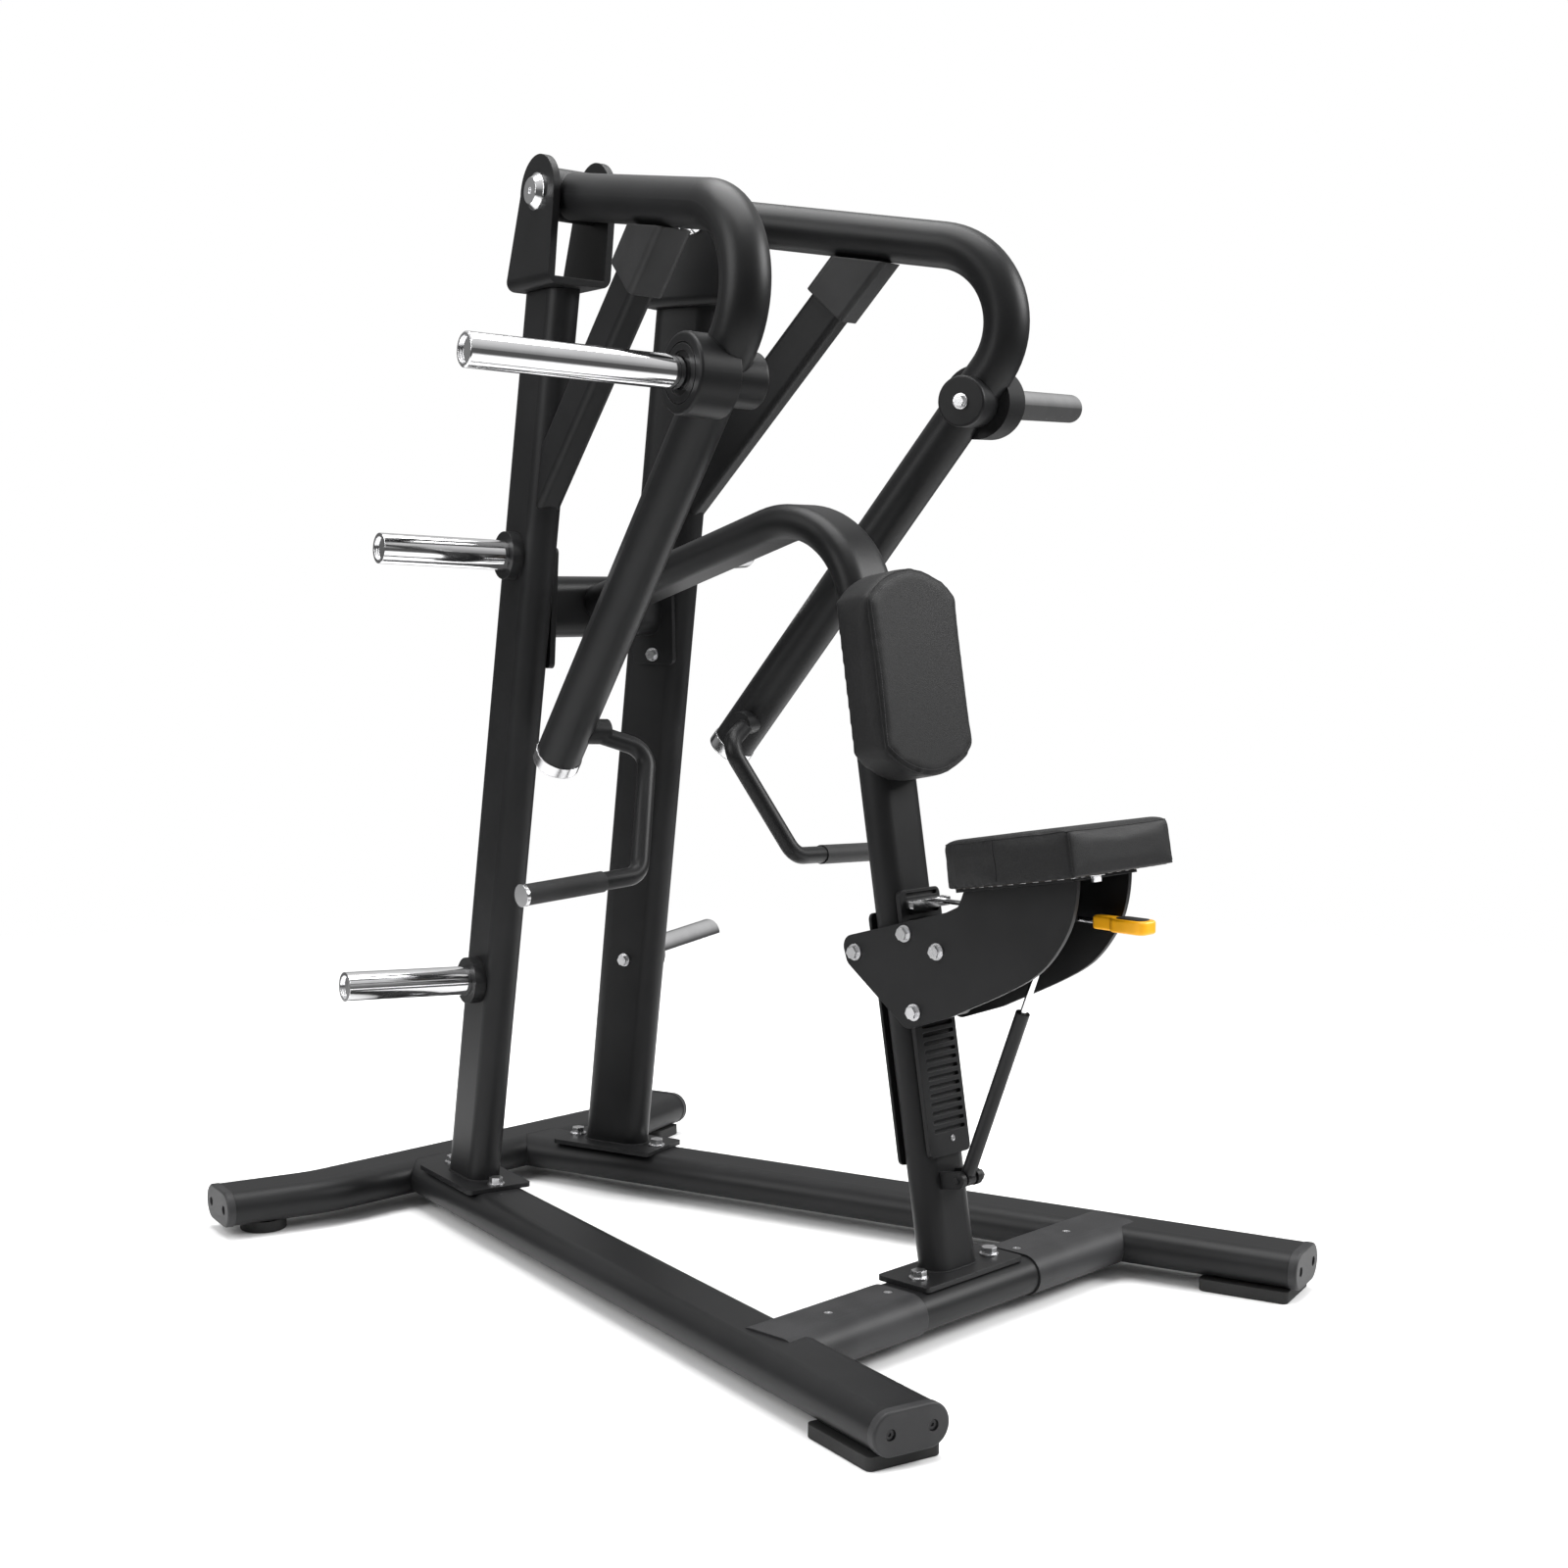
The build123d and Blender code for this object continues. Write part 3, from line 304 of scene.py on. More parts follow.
    def surface(
        self,
        colour: Sock | Colour,
        roughness: Sock | float,
        normal: Sock | None = None,
        metallic: float = 0.0,
        coat: float = 0.0,
        coat_roughness: float = 0.3,
        specular: float = 0.5,
        sheen: float = 0.0,
        alpha: Sock | float = 1.0,
    ) -> bpy.types.Material:
        """Close the material.

        Args:
            colour: Base colour.
            roughness: Roughness.
            normal: Normal.
            metallic: Metal share.
            coat: Clear coat.
            coat_roughness: Roughness of the coat.
            specular: Specular level.
            sheen: Sheen.
            alpha: Opacity.

        Returns:
            The finished material.
        """
        inputs = {
            "Base Color": colour,
            "Roughness": roughness,
            "Metallic": metallic,
            "Coat Weight": coat,
            "Coat Roughness": coat_roughness,
            "Specular IOR Level": specular,
            "Sheen Weight": sheen,
            "Alpha": alpha,
        }
        if normal is not None:
            inputs["Normal"] = normal
        shader = self.node("ShaderNodeBsdfPrincipled", {}, inputs)
        end = self.tree.nodes.new("ShaderNodeOutputMaterial")
        self.tree.links.new(shader.out, end.inputs["Surface"])
        return self.mat


# ------------------------------------------------------------------ finishes
@dataclass(frozen=True)
class PowderCoat:
    """Fine textured black powder coat over steel."""

    name: str
    colour: Colour = (0.0078, 0.0079, 0.0083)
    # Lighter edge colour: scuffed paint, and a painted edge highlight as well.
    worn_and_highlight: Colour = (0.026, 0.026, 0.028)
    roughness: float = 0.42
    edge: float = 0.0022

    def make(self) -> bpy.types.Material:
        """Build the material."""
        s = Shade(self.name)
        at = s.place()
        cloud = s.noise(at, 7.0, 4.0)
        grain = s.noise(at, 1150.0, 2.0)
        peel = s.noise(at, 210.0, 1.0)
        soft = s.rounded(self.edge)
        # Edges patched by noise get a lighter colour: edge scuffing, and a painted edge highlight as well.
        wear_and_highlight = s.edges(soft) * s.noise(at, 60.0, 3.0).step(0.42, 0.66)
        tone = s.mix(cloud.step(0.3, 0.7), self.colour, tuple(c * 1.35 for c in self.colour))
        tone = s.mix(wear_and_highlight * 0.7, tone, self.worn_and_highlight)
        rough = self.roughness + (cloud - 0.5) * 0.10 + (grain - 0.5) * 0.12
        normal = s.bump(grain * 0.7 + peel * 0.5, 0.00016, soft, 0.55)
        return s.surface(tone, rough, normal, specular=0.2)


@dataclass(frozen=True)
class Moulding:
    """Moulded plastic or rubber with a spark-eroded skin."""

    name: str
    colour: Colour
    roughness: float = 0.5
    grain: float = 900.0
    depth: float = 0.00012
    specular: float = 0.45
    edge: float = 0.0012

    def make(self) -> bpy.types.Material:
        """Build the material."""
        s = Shade(self.name)
        at = s.place()
        cloud = s.noise(at, 12.0, 3.0)
        skin = s.cells(at, self.grain)
        dust = s.noise(at, 420.0, 4.0)
        soft = s.rounded(self.edge)
        rub_and_highlight = s.edges(soft)
        lighter = tuple(c * 1.3 + 0.003 for c in self.colour)
        tone = s.mix(cloud.step(0.35, 0.65), self.colour, lighter)
        # Every edge is painted lighter and made glossier: rubbed edges, with a painted edge highlight as
        # well.
        tone = s.mix(rub_and_highlight * 0.4, tone, tuple(c * 1.8 + 0.01 for c in self.colour))
        rough = self.roughness + (dust - 0.5) * 0.16 - rub_and_highlight * 0.06
        normal = s.bump(skin * 0.6 + dust * 0.4, self.depth, soft, 0.6)
        return s.surface(tone, rough, normal, specular=self.specular)


@dataclass(frozen=True)
class BrightMetal:
    """Plated, turned or ground bright metal."""

    name: str
    colour: Colour
    roughness: float
    scratch: float = 0.06
    edge: float = 0.0008

    def make(self) -> bpy.types.Material:
        """Build the material."""
        s = Shade(self.name)
        at = s.place()
        hairs = s.noise(s.place((1.0, 14.0, 14.0)), 260.0, 3.0)
        cross = s.noise(s.place((12.0, 12.0, 1.0)), 210.0, 2.0)
        smear = s.noise(at, 16.0, 4.0, 0.6)
        pits = s.cells(at, 480.0).step(0.0, 0.12)
        soft = s.rounded(self.edge)
        tone = s.mix(smear.step(0.35, 0.7), self.colour, tuple(c * 0.9 for c in self.colour))
        rough = self.roughness + hairs.step(0.55, 0.75) * self.scratch + smear * self.scratch
        normal = s.bump(hairs * 0.5 + cross * 0.3 + pits * 0.2, 0.00002, soft, 0.35)
        return s.surface(tone, rough, normal, metallic=1.0)


@dataclass(frozen=True)
class Leatherette:
    """Coated upholstery cloth with a fine pebble grain."""

    name: str
    colour: Colour = (0.0066, 0.0066, 0.0070)
    pebble: float = 720.0

    def make(self) -> bpy.types.Material:
        """Build the material."""
        s = Shade(self.name)
        at = s.place()
        drift = s.noise(at, 5.0, 3.0)
        bent = s.node("ShaderNodeTexNoise", {}, {"Vector": at, "Scale": 160.0, "Detail": 2.0}, "Color")
        nudged = s.node(
            "ShaderNodeVectorMath",
            {"operation": "MULTIPLY_ADD"},
            {0: bent, 1: (0.0016, 0.0016, 0.0016), 2: at},
        )
        pebbles = s.cells(nudged, self.pebble)
        creases = s.cells(nudged, self.pebble * 0.42, "DISTANCE_TO_EDGE").step(0.0, 0.12)
        pores = s.noise(at, 2400.0, 1.0)
        shaded_valley = pebbles.step(0.35, 0.75)
        tone = s.mix(drift.step(0.3, 0.7), self.colour, tuple(c * 1.3 for c in self.colour))
        # Darker pebble valleys: painted shade in the grain's hollows; their higher roughness is the skin's
        # own.
        tone = s.mix(shaded_valley * 0.5, tone, tuple(c * 0.55 for c in self.colour))
        rough = 0.5 + (drift - 0.5) * 0.08 + shaded_valley * 0.12 + (pores - 0.5) * 0.08
        height = (1.0 - pebbles) * 0.55 + creases * 0.35 + pores * 0.1
        normal = s.bump(height, 0.00034, None, 0.75)
        return s.surface(tone, rough, normal, coat=0.03, coat_roughness=0.45, specular=0.2, sheen=0.02)


@dataclass(frozen=True)
class StainedPly:
    """Black-stained plywood: face grain on the flats, plies on the edges."""

    name: str
    colour: Colour = (0.021, 0.017, 0.014)

    def make(self) -> bpy.types.Material:
        """Build the material."""
        s = Shade(self.name)
        grain = s.noise(s.place((26.0, 3.0, 3.0)), 26.0, 5.0, 0.8)
        pores = s.noise(s.place((60.0, 4.0, 4.0)), 60.0, 2.0)
        tone = s.mix(grain.step(0.35, 0.7), self.colour, (0.052, 0.040, 0.030))
        tone = s.mix(pores.step(0.6, 0.72) * 0.6, tone, (0.008, 0.006, 0.005))
        rough = 0.62 + (grain - 0.5) * 0.2
        normal = s.bump(grain * 0.6 + pores * 0.4, 0.00025, s.rounded(0.0015), 0.7)
        return s.surface(tone, rough, normal)


@dataclass(frozen=True)
class Thread:
    """Bonded sewing thread with its twist."""

    name: str
    colour: Colour = (0.026, 0.026, 0.027)

    def make(self) -> bpy.types.Material:
        """Build the material."""
        s = Shade(self.name)
        strand = s.noise(s.place((3.0, 3.0, 1.0)), 1500.0, 1.0)
        fuzz = s.noise(s.place(), 3200.0, 2.0)
        tone = s.mix(strand.step(0.4, 0.6), self.colour, (0.045, 0.045, 0.047))
        return s.surface(tone, 0.6 + fuzz * 0.2, s.bump(strand, 0.0001, None, 0.8), sheen=0.1)


@dataclass(frozen=True)
class PaleFloor:
    """Matt pale studio floor."""

    name: str = "studio_floor"
    reach: float = 4.2

    def make(self) -> bpy.types.Material:
        """Build the material."""
        s = Shade(self.name)
        at = s.place()
        cloud = s.noise(at, 1.2, 4.0)
        tone = s.mix(cloud, (0.88, 0.88, 0.88), (0.92, 0.92, 0.92))
        away = s.node("ShaderNodeVectorMath", {"operation": "LENGTH"}, {0: at}, "Value")
        solid = 1.0 - away.step(1.3, self.reach)
        return s.surface(tone, 0.75 + cloud * 0.1, specular=0.05, alpha=solid)


class Finish(Enum):
    """The finishes by the record's slot name."""

    FRAME = PowderCoat("frame_steel")
    ARM = PowderCoat("arm_steel", (0.0082, 0.0083, 0.0087), roughness=0.40)
    SCREW = PowderCoat("screw_black", (0.014, 0.014, 0.015), roughness=0.3, edge=0.0006)
    STRUT = PowderCoat("strut_paint", (0.009, 0.009, 0.0095), roughness=0.3, edge=0.0008)
    CAP = Moulding("cap_plastic", (0.020, 0.020, 0.021), 0.5, specular=0.25)
    ROLLER = Moulding("roller_plastic", (0.02, 0.02, 0.021), 0.42)
    FOOT = Moulding("foot_rubber", (0.013, 0.013, 0.013), 0.72, 520.0, 0.0002, 0.3)
    BUMPER = Moulding("bumper_rubber", (0.010, 0.010, 0.0105), 0.5, 700.0, 0.00012, 0.4, 0.003)
    GRIP = Moulding("grip_rubber", (0.012, 0.012, 0.0125), 0.6, 640.0, 0.0003, 0.35)
    INSERT = Moulding("insert_rubber", (0.012, 0.012, 0.012), 0.6, 800.0, 0.0002, 0.35)
    YELLOW = Moulding("yellow_plastic", (0.88, 0.41, 0.006), 0.36, 800.0, 0.00006, 0.5, 0.002)
    CHROME = BrightMetal("horn_chrome", (0.82, 0.82, 0.83), 0.045, 0.05, 0.0012)
    BOLT = BrightMetal("bolt_steel", (0.60, 0.60, 0.61), 0.22, 0.12, 0.0008)
    TRIM = BrightMetal("trim_steel", (0.66, 0.66, 0.67), 0.16, 0.1, 0.0012)
    ROD = BrightMetal("rod_steel", (0.70, 0.70, 0.71), 0.12, 0.06, 0.0004)
    LEATHER = Leatherette("pad_leather")
    BOARD = StainedPly("board_wood")
    THREAD = Thread("seam_thread")
    FLOOR = PaleFloor()


class Paintbox:
    """Makes each finish once."""

    def __init__(self) -> None:
        """Start empty."""
        self._made: dict[Finish, bpy.types.Material] = {}

    def get(self, finish: Finish) -> bpy.types.Material:
        """Material of a finish.

        Args:
            finish: The finish.

        Returns:
            Its material, made on first use.
        """
        if finish not in self._made:
            self._made[finish] = finish.value.make()
        return self._made[finish]

    def dress(self, nodes: dict[str, bpy.types.Object], slots: dict[str, str]) -> None:
        """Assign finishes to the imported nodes.

        Args:
            nodes: The frame's node objects.
            slots: Slot name of each node.
        """
        by_name = {finish.value.name: finish for finish in Finish}
        for name, node in nodes.items():
            finish = by_name[slots[name]]
            material = self.get(finish)
            if not node.material_slots:
                node.data.materials.append(material)
            for slot in node.material_slots:
                slot.material = material
            log.info("dressed %s as %s", name, finish.value.name)


# ------------------------------------------------------------------ places and meshes
@dataclass(frozen=True)
class Axes:
    """A local set of axes in the frame, with millimetre coordinates."""

    origin: Vector
    x: Vector
    y: Vector
    z: Vector

    def at(self, x: float, y: float, z: float = 0.0) -> Vector:
        """Point in metres from local millimetres."""
        return self.origin + (self.x * x + self.y * y + self.z * z) * MM


def side_axes() -> Axes:
    """Right side frame: x forward, y up, z outward, from the arm pivot."""
    forward = Vector((math.sin(SPLAY), -math.cos(SPLAY), 0.0))
    level = Vector((math.cos(SPLAY), math.sin(SPLAY), 0.0))
    up = Vector((0.0, 0.0, 1.0))
    out = level * math.cos(TILT) + up * math.sin(TILT)
    rise = up * math.cos(TILT) - level * math.sin(TILT)
    return Axes(Vector((0.1623, 0.25003, 1.762)), forward, rise, out)


def seat_axes() -> Axes:
    """Seat post: x to the right, y up along the post, z out of its front face."""
    along = Vector((0.0, math.sin(POST_LEAN), math.cos(POST_LEAN)))
    ahead = Vector((0.0, -math.cos(POST_LEAN), math.sin(POST_LEAN)))
    return Axes(Vector((0.0, -0.343008, 0.673)), Vector((1.0, 0.0, 0.0)), along, ahead)


SIDE = side_axes()
SEAT = seat_axes()


def mesh_object(name: str, bm: bmesh.types.BMesh, smooth: bool = True) -> bpy.types.Object:
    """Turn a bmesh into an object at the origin.

    Args:
        name: The piece's name.
        bm: The mesh, which is freed.
        smooth: Whether faces are shaded smooth.

    Returns:
        The object, linked to the scene.
    """
    bmesh.ops.recalc_face_normals(bm, faces=bm.faces)
    mesh = bpy.data.meshes.new(name)
    bm.to_mesh(mesh)
    bm.free()
    mesh.polygons.foreach_set("use_smooth", [smooth] * len(mesh.polygons))
    made = bpy.data.objects.new(name, mesh)
    bpy.context.scene.collection.objects.link(made)
    return made


def baked(source: bpy.types.Object, name: str) -> bpy.types.Object:
    """Evaluate a piece's modifiers into a plain mesh and drop the source.

    Args:
        source: The object with live modifiers.
        name: Name of the result.

    Returns:
        The plain object.
    """
    graph = bpy.context.evaluated_depsgraph_get()
    mesh = bpy.data.meshes.new_from_object(source.evaluated_get(graph), depsgraph=graph)
    mesh.name = name
    bpy.data.objects.remove(source)
    made = bpy.data.objects.new(name, mesh)
    bpy.context.scene.collection.objects.link(made)
    return made


def lathe(name: str, axes: Axes, profile: list[tuple[float, float]], steps: int = 48) -> bpy.types.Object:
    """Turned piece round the local z axis.

    Args:
        name: The piece's name.
        axes: Its axes; the axis of turning is z.
        profile: Radius and height pairs, closed onto itself.
        steps: Facets round the axis.

    Returns:
        The object.
    """
    bm = bmesh.new()
    rings = []
    for k in range(steps):
        turn = 2 * math.pi * k / steps
        c, s = math.cos(turn), math.sin(turn)
        rings.append([bm.verts.new(axes.at(r * c, r * s, h)) for r, h in profile])
    count = len(profile)
    for k in range(steps):
        here, following = rings[k], rings[(k + 1) % steps]
        for i in range(count):
            j = (i + 1) % count
            bm.faces.new((here[i], following[i], following[j], here[j]))
    bmesh.ops.remove_doubles(bm, verts=bm.verts, dist=1e-6)
    return mesh_object(name, bm)


def settle(piece: bpy.types.Object, body: str, material: bpy.types.Material) -> None:
    """Give a finished piece its finish, slot and body.

    Args:
        piece: The piece.
        body: The body it rides on.
        material: Its finish.
    """
    piece.data.materials.clear()
    piece.data.materials.append(material)
    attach(piece, body)
    log.info("made %s on %s: %d faces", piece.name, body, len(piece.data.polygons))


# ------------------------------------------------------------------ repeats along a line
class Bead(Enum):
    """What is repeated along a line."""

    STITCH = "stitch"
    WELD = "weld"
    STAPLE = "staple"


class RunTree:
    """Geometry Nodes tree that lays one small shape along a line of edges."""

    def __init__(self, bead: Bead, material: bpy.types.Material) -> None:
        """Build the tree.

        Args:
            bead: The shape that is repeated.
            material: Its finish.
        """
        self.bead = bead
        self.group = bpy.data.node_groups.new(f"{bead.value}_run", "GeometryNodeTree")
        self.inputs: dict[str, str] = {}
        face = self.group.interface
        face.new_socket("Geometry", in_out="INPUT", socket_type="NodeSocketGeometry")
        face.new_socket("Geometry", in_out="OUTPUT", socket_type="NodeSocketGeometry")
        for name, kind in (
            ("Pitch", "NodeSocketFloat"),
            ("Size", "NodeSocketVector"),
            ("Unevenness", "NodeSocketFloat"),
            ("Seed", "NodeSocketInt"),
        ):
            self.inputs[name] = face.new_socket(name, in_out="INPUT", socket_type=kind).identifier
        self._fill(material)

    def _add(self, kind: str, **inputs: object) -> bpy.types.Node:
        """Add a node with its inputs by name, spaces written as underscores."""
        made = self.group.nodes.new(kind)
        for key, value in inputs.items():
            socket = made.inputs[key.replace("_", " ")]
            if isinstance(value, bpy.types.NodeSocket):
                self.group.links.new(value, socket)
            else:
                socket.default_value = value
        return made

    def _fill(self, material: bpy.types.Material) -> None:
        """Lay out the nodes.

        Args:
            material: The finish set on the result.
        """
        start = self.group.nodes.new("NodeGroupInput")
        end = self.group.nodes.new("NodeGroupOutput")
        line = self._add("GeometryNodeMeshToCurve", Mesh=start.outputs["Geometry"])
        spaced = self.group.nodes.new("GeometryNodeResampleCurve")
        spaced.mode = "LENGTH"
        self.group.links.new(line.outputs["Curve"], spaced.inputs["Curve"])
        self.group.links.new(start.outputs["Pitch"], spaced.inputs["Length"])
        shape = self._shape()
        tangent = self.group.nodes.new("GeometryNodeInputTangent")
        facing = self.group.nodes.new("GeometryNodeInputNamedAttribute")
        facing.data_type = "FLOAT_VECTOR"
        facing.inputs["Name"].default_value = "outward"
        first = self.group.nodes.new("FunctionNodeAlignRotationToVector")
        first.axis = "Z"
        self.group.links.new(tangent.outputs[0], first.inputs["Vector"])
        second = self.group.nodes.new("FunctionNodeAlignRotationToVector")
        second.axis = "Y"
        second.pivot_axis = "Z"
        self.group.links.new(first.outputs[0], second.inputs["Rotation"])
        self.group.links.new(facing.outputs["Attribute"], second.inputs["Vector"])
        rough = self.group.nodes.new("FunctionNodeRandomValue")
        rough.data_type = "FLOAT"
        self.group.links.new(start.outputs["Seed"], rough.inputs["Seed"])
        less = self._add("ShaderNodeMath")
        less.operation = "SUBTRACT"
        less.inputs[0].default_value = 1.0
        self.group.links.new(start.outputs["Unevenness"], less.inputs[1])
        self.group.links.new(less.outputs[0], rough.inputs[2])
        rough.inputs[3].default_value = 1.0
        sized = self._add("ShaderNodeVectorMath")
        sized.operation = "SCALE"
        self.group.links.new(start.outputs["Size"], sized.inputs[0])
        self.group.links.new(rough.outputs[1], sized.inputs["Scale"])
        laid = self._add(
            "GeometryNodeInstanceOnPoints",
            Points=spaced.outputs["Curve"],
            Instance=shape,
            Rotation=second.outputs[0],
            Scale=sized.outputs[0],
        )
        real = self._add("GeometryNodeRealizeInstances", Geometry=laid.outputs["Instances"])
        smooth = self._add("GeometryNodeSetShadeSmooth")
        self.group.links.new(real.outputs["Geometry"], smooth.inputs[0])
        painted = self._add("GeometryNodeSetMaterial", Material=material)
        self.group.links.new(smooth.outputs[0], painted.inputs["Geometry"])
        self.group.links.new(painted.outputs["Geometry"], end.inputs["Geometry"])

    def _shape(self) -> bpy.types.NodeSocket:
        """The repeated shape, one unit long on each axis."""
        if self.bead is Bead.STAPLE:
            return self._add("GeometryNodeMeshCube", Size=(1.0, 1.0, 1.0)).outputs["Mesh"]
        ball = self._add("GeometryNodeMeshUVSphere", Segments=8, Rings=5, Radius=0.5)
        return ball.outputs["Mesh"]

    def lay(
        self,
        name: str,
        line: list[Vector],
        outward: list[Vector],
        pitch: float,
        size: Colour,
        unevenness: float = 0.0,
        closed: bool = True,
    ) -> bpy.types.Object:
        """Lay the shape along a line.

        Args:
            name: The piece's name.
            line: The line's points in metres.
            outward: Surface direction at each point.
            pitch: Spacing in metres.
            size: Width, height and length of one shape in metres.
            unevenness: Share by which shapes may be smaller.
            closed: Whether the line returns to its start.

        Returns:
            The plain mesh object.
        """
        bm = bmesh.new()
        points = [bm.verts.new(p) for p in line]
        last = len(points) if closed else len(points) - 1
        for i in range(last):
            bm.edges.new((points[i], points[(i + 1) % len(points)]))
        mesh = bpy.data.meshes.new(name)
        bm.to_mesh(mesh)
        bm.free()
        facing = mesh.attributes.new("outward", "FLOAT_VECTOR", "POINT")
        facing.data.foreach_set("vector", [c for v in outward for c in v])
        base = bpy.data.objects.new(name, mesh)
        bpy.context.scene.collection.objects.link(base)
        run = base.modifiers.new("run", "NODES")
        run.node_group = self.group
        run[self.inputs["Pitch"]] = pitch
        run[self.inputs["Size"]] = size
        run[self.inputs["Unevenness"]] = unevenness
        run[self.inputs["Seed"]] = 7
        return baked(base, name)


# ------------------------------------------------------------------ upholstery
@dataclass
class Cushion:
    """A foam pad in leatherette: simulated skin, welted seam and stitches."""

    name: str
    node: str
    body: str
    axes: Axes
    outline: list[tuple[float, float]]
    low: float
    high: float
    shrink: float = 1.6
    edge: float = 7.0
    voxel: float = 4.0
    cap: float = 2.6
    fill: float = 0.85
    welt: float = 1.1
    seams: list[tuple[float, float]] = field(default_factory=list)

    def blank(self) -> bpy.types.Object:
        """Closed block of foam a little smaller than the finished pad."""
        mid = Vector((sum(x for x, _ in self.outline), sum(y for _, y in self.outline)))
        mid /= len(self.outline)
        bm = bmesh.new()
        layers = []
        for height in (self.low, self.high - self.shrink):
            ring = []
            for x, y in self.outline:
                away = (Vector((x, y)) - mid).normalized() * self.shrink
                ring.append(bm.verts.new(self.axes.at(x - away.x, y - away.y, height)))
            layers.append(ring)
        count = len(self.outline)
        for i in range(count):
            j = (i + 1) % count
            bm.faces.new((layers[0][i], layers[0][j], layers[1][j], layers[1][i]))
        bm.faces.new(layers[0])
        top = bm.faces.new(layers[1])
        bmesh.ops.bevel(
            bm,
            geom=list(top.edges),
            offset=self.edge * MM,
            segments=3,
            profile=0.5,
            affect="EDGES",
        )
        return mesh_object(self.name + "_blank", bm)

    def skin(self) -> bpy.types.Object:
        """The pad's skin, blown up by cloth pressure over its flat back."""
        block = self.blank()
        voxels = block.modifiers.new("voxels", "REMESH")
        voxels.mode = "VOXEL"
        voxels.voxel_size = self.voxel * MM
        voxels.use_smooth_shade = True
        pad = baked(block, self.name)
        rest = [v.co.copy() for v in pad.data.vertices]
        depth = [(p - self.axes.origin).dot(self.axes.z) / MM - self.low for p in rest]
        self._blow(pad, rest, depth)
        self._ease(pad, depth)
        finer = pad.modifiers.new("finer", "SUBSURF")
        finer.levels = finer.render_levels = 1
        return baked(pad, self.name)

    def _blow(self, pad: bpy.types.Object, rest: list[Vector], depth: list[float]) -> None:
        """Run the cloth and keep what it moved, up to the cap.

        Args:
            pad: The remeshed pad.
            rest: Its points before the run.
            depth: Height of each point above the back, in millimetres.
        """
        scene = bpy.context.scene
        pins = pad.vertex_groups.new(name="pins")
        pins.add([i for i, d in enumerate(depth) if d < 6.0], 1.0, "REPLACE")
        cloth = pad.modifiers.new("cloth", "CLOTH")
        cloth.settings.use_pressure = True
        cloth.settings.uniform_pressure_force = 1.6
        cloth.settings.vertex_group_mass = "pins"
        cloth.settings.effector_weights.gravity = 0.0
        cloth.point_cache.frame_start, cloth.point_cache.frame_end = 1, CLOTH_FRAMES
        for step in range(1, CLOTH_FRAMES + 1):
            scene.frame_set(step)
        graph = bpy.context.evaluated_depsgraph_get()
        blown = [v.co.copy() for v in pad.evaluated_get(graph).data.vertices]
        pad.modifiers.remove(cloth)
        scene.frame_set(1)
        for vertex, start, end, rise in zip(pad.data.vertices, rest, blown, depth):
            move = end - start
            limit = self.cap * MM * min(1.0, max(0.0, rise / 12.0))
            if move.length > limit:
                move = move.normalized() * limit
            vertex.co = start + move

    @staticmethod
    def _ease(pad: bpy.types.Object, depth: list[float]) -> None:
        """Smooth the voxel steps out of the skin.

        Args:
            pad: The pad.
            depth: Height of each point above the back, in millimetres.
        """
        bm = bmesh.new()
        bm.from_mesh(pad.data)
        bm.verts.ensure_lookup_table()
        loose = [v for v, d in zip(bm.verts, depth) if d > 3.0]
        for _ in range(6):
            bmesh.ops.smooth_vert(
                bm, verts=loose, factor=0.5, use_axis_x=True, use_axis_y=True, use_axis_z=True
            )
        bm.to_mesh(pad.data)
        bm.free()

    def along(self, skin: bpy.types.Object, inset: float, drop: float) -> tuple[list[Vector], list[Vector]]:
        """Points on the skin round the pad, and the skin's direction there.

        Args:
            skin: The finished skin.
            inset: Distance in from the outline, in millimetres.
            drop: Distance down from the face, in millimetres.

        Returns:
            The points and the outward directions.
        """
        tree = BVHTree.FromObject(skin, bpy.context.evaluated_depsgraph_get())
        mid = Vector((sum(x for x, _ in self.outline), sum(y for _, y in self.outline)))
        mid /= len(self.outline)
        points, facing = [], []
        count = len(self.outline)
        for i in range(count):
            a, b = Vector(self.outline[i]), Vector(self.outline[(i + 1) % count])
            pieces = max(1, round((b - a).length / 6.0))
            for k in range(pieces):
                spot = a.lerp(b, k / pieces)
                spot -= (spot - mid).normalized() * inset
                near, normal, _, _ = tree.find_nearest(self.axes.at(spot.x, spot.y, self.high - drop))
                points.append(near)
                facing.append(normal)
        return points, facing

    def rope(self, name: str, points: list[Vector], radius: float, closed: bool) -> bpy.types.Object:
        """A thin round welt along points.

        Args:
            name: The piece's name.
            points: Its centre line.
            radius: Its radius in millimetres.
            closed: Whether it returns to its start.

        Returns:
            The object.
        """
        curve = bpy.data.curves.new(name, "CURVE")
        curve.dimensions = "3D"
        curve.bevel_depth = radius * MM
        curve.bevel_resolution = 2
        curve.use_fill_caps = not closed
        spline = curve.splines.new("POLY")
        spline.points.add(len(points) - 1)
        for point, place in zip(spline.points, points):
            point.co = (*place, 1.0)
        spline.use_cyclic_u = closed
        line = bpy.data.objects.new(name, curve)
        bpy.context.scene.collection.objects.link(line)
        return baked(line, name)

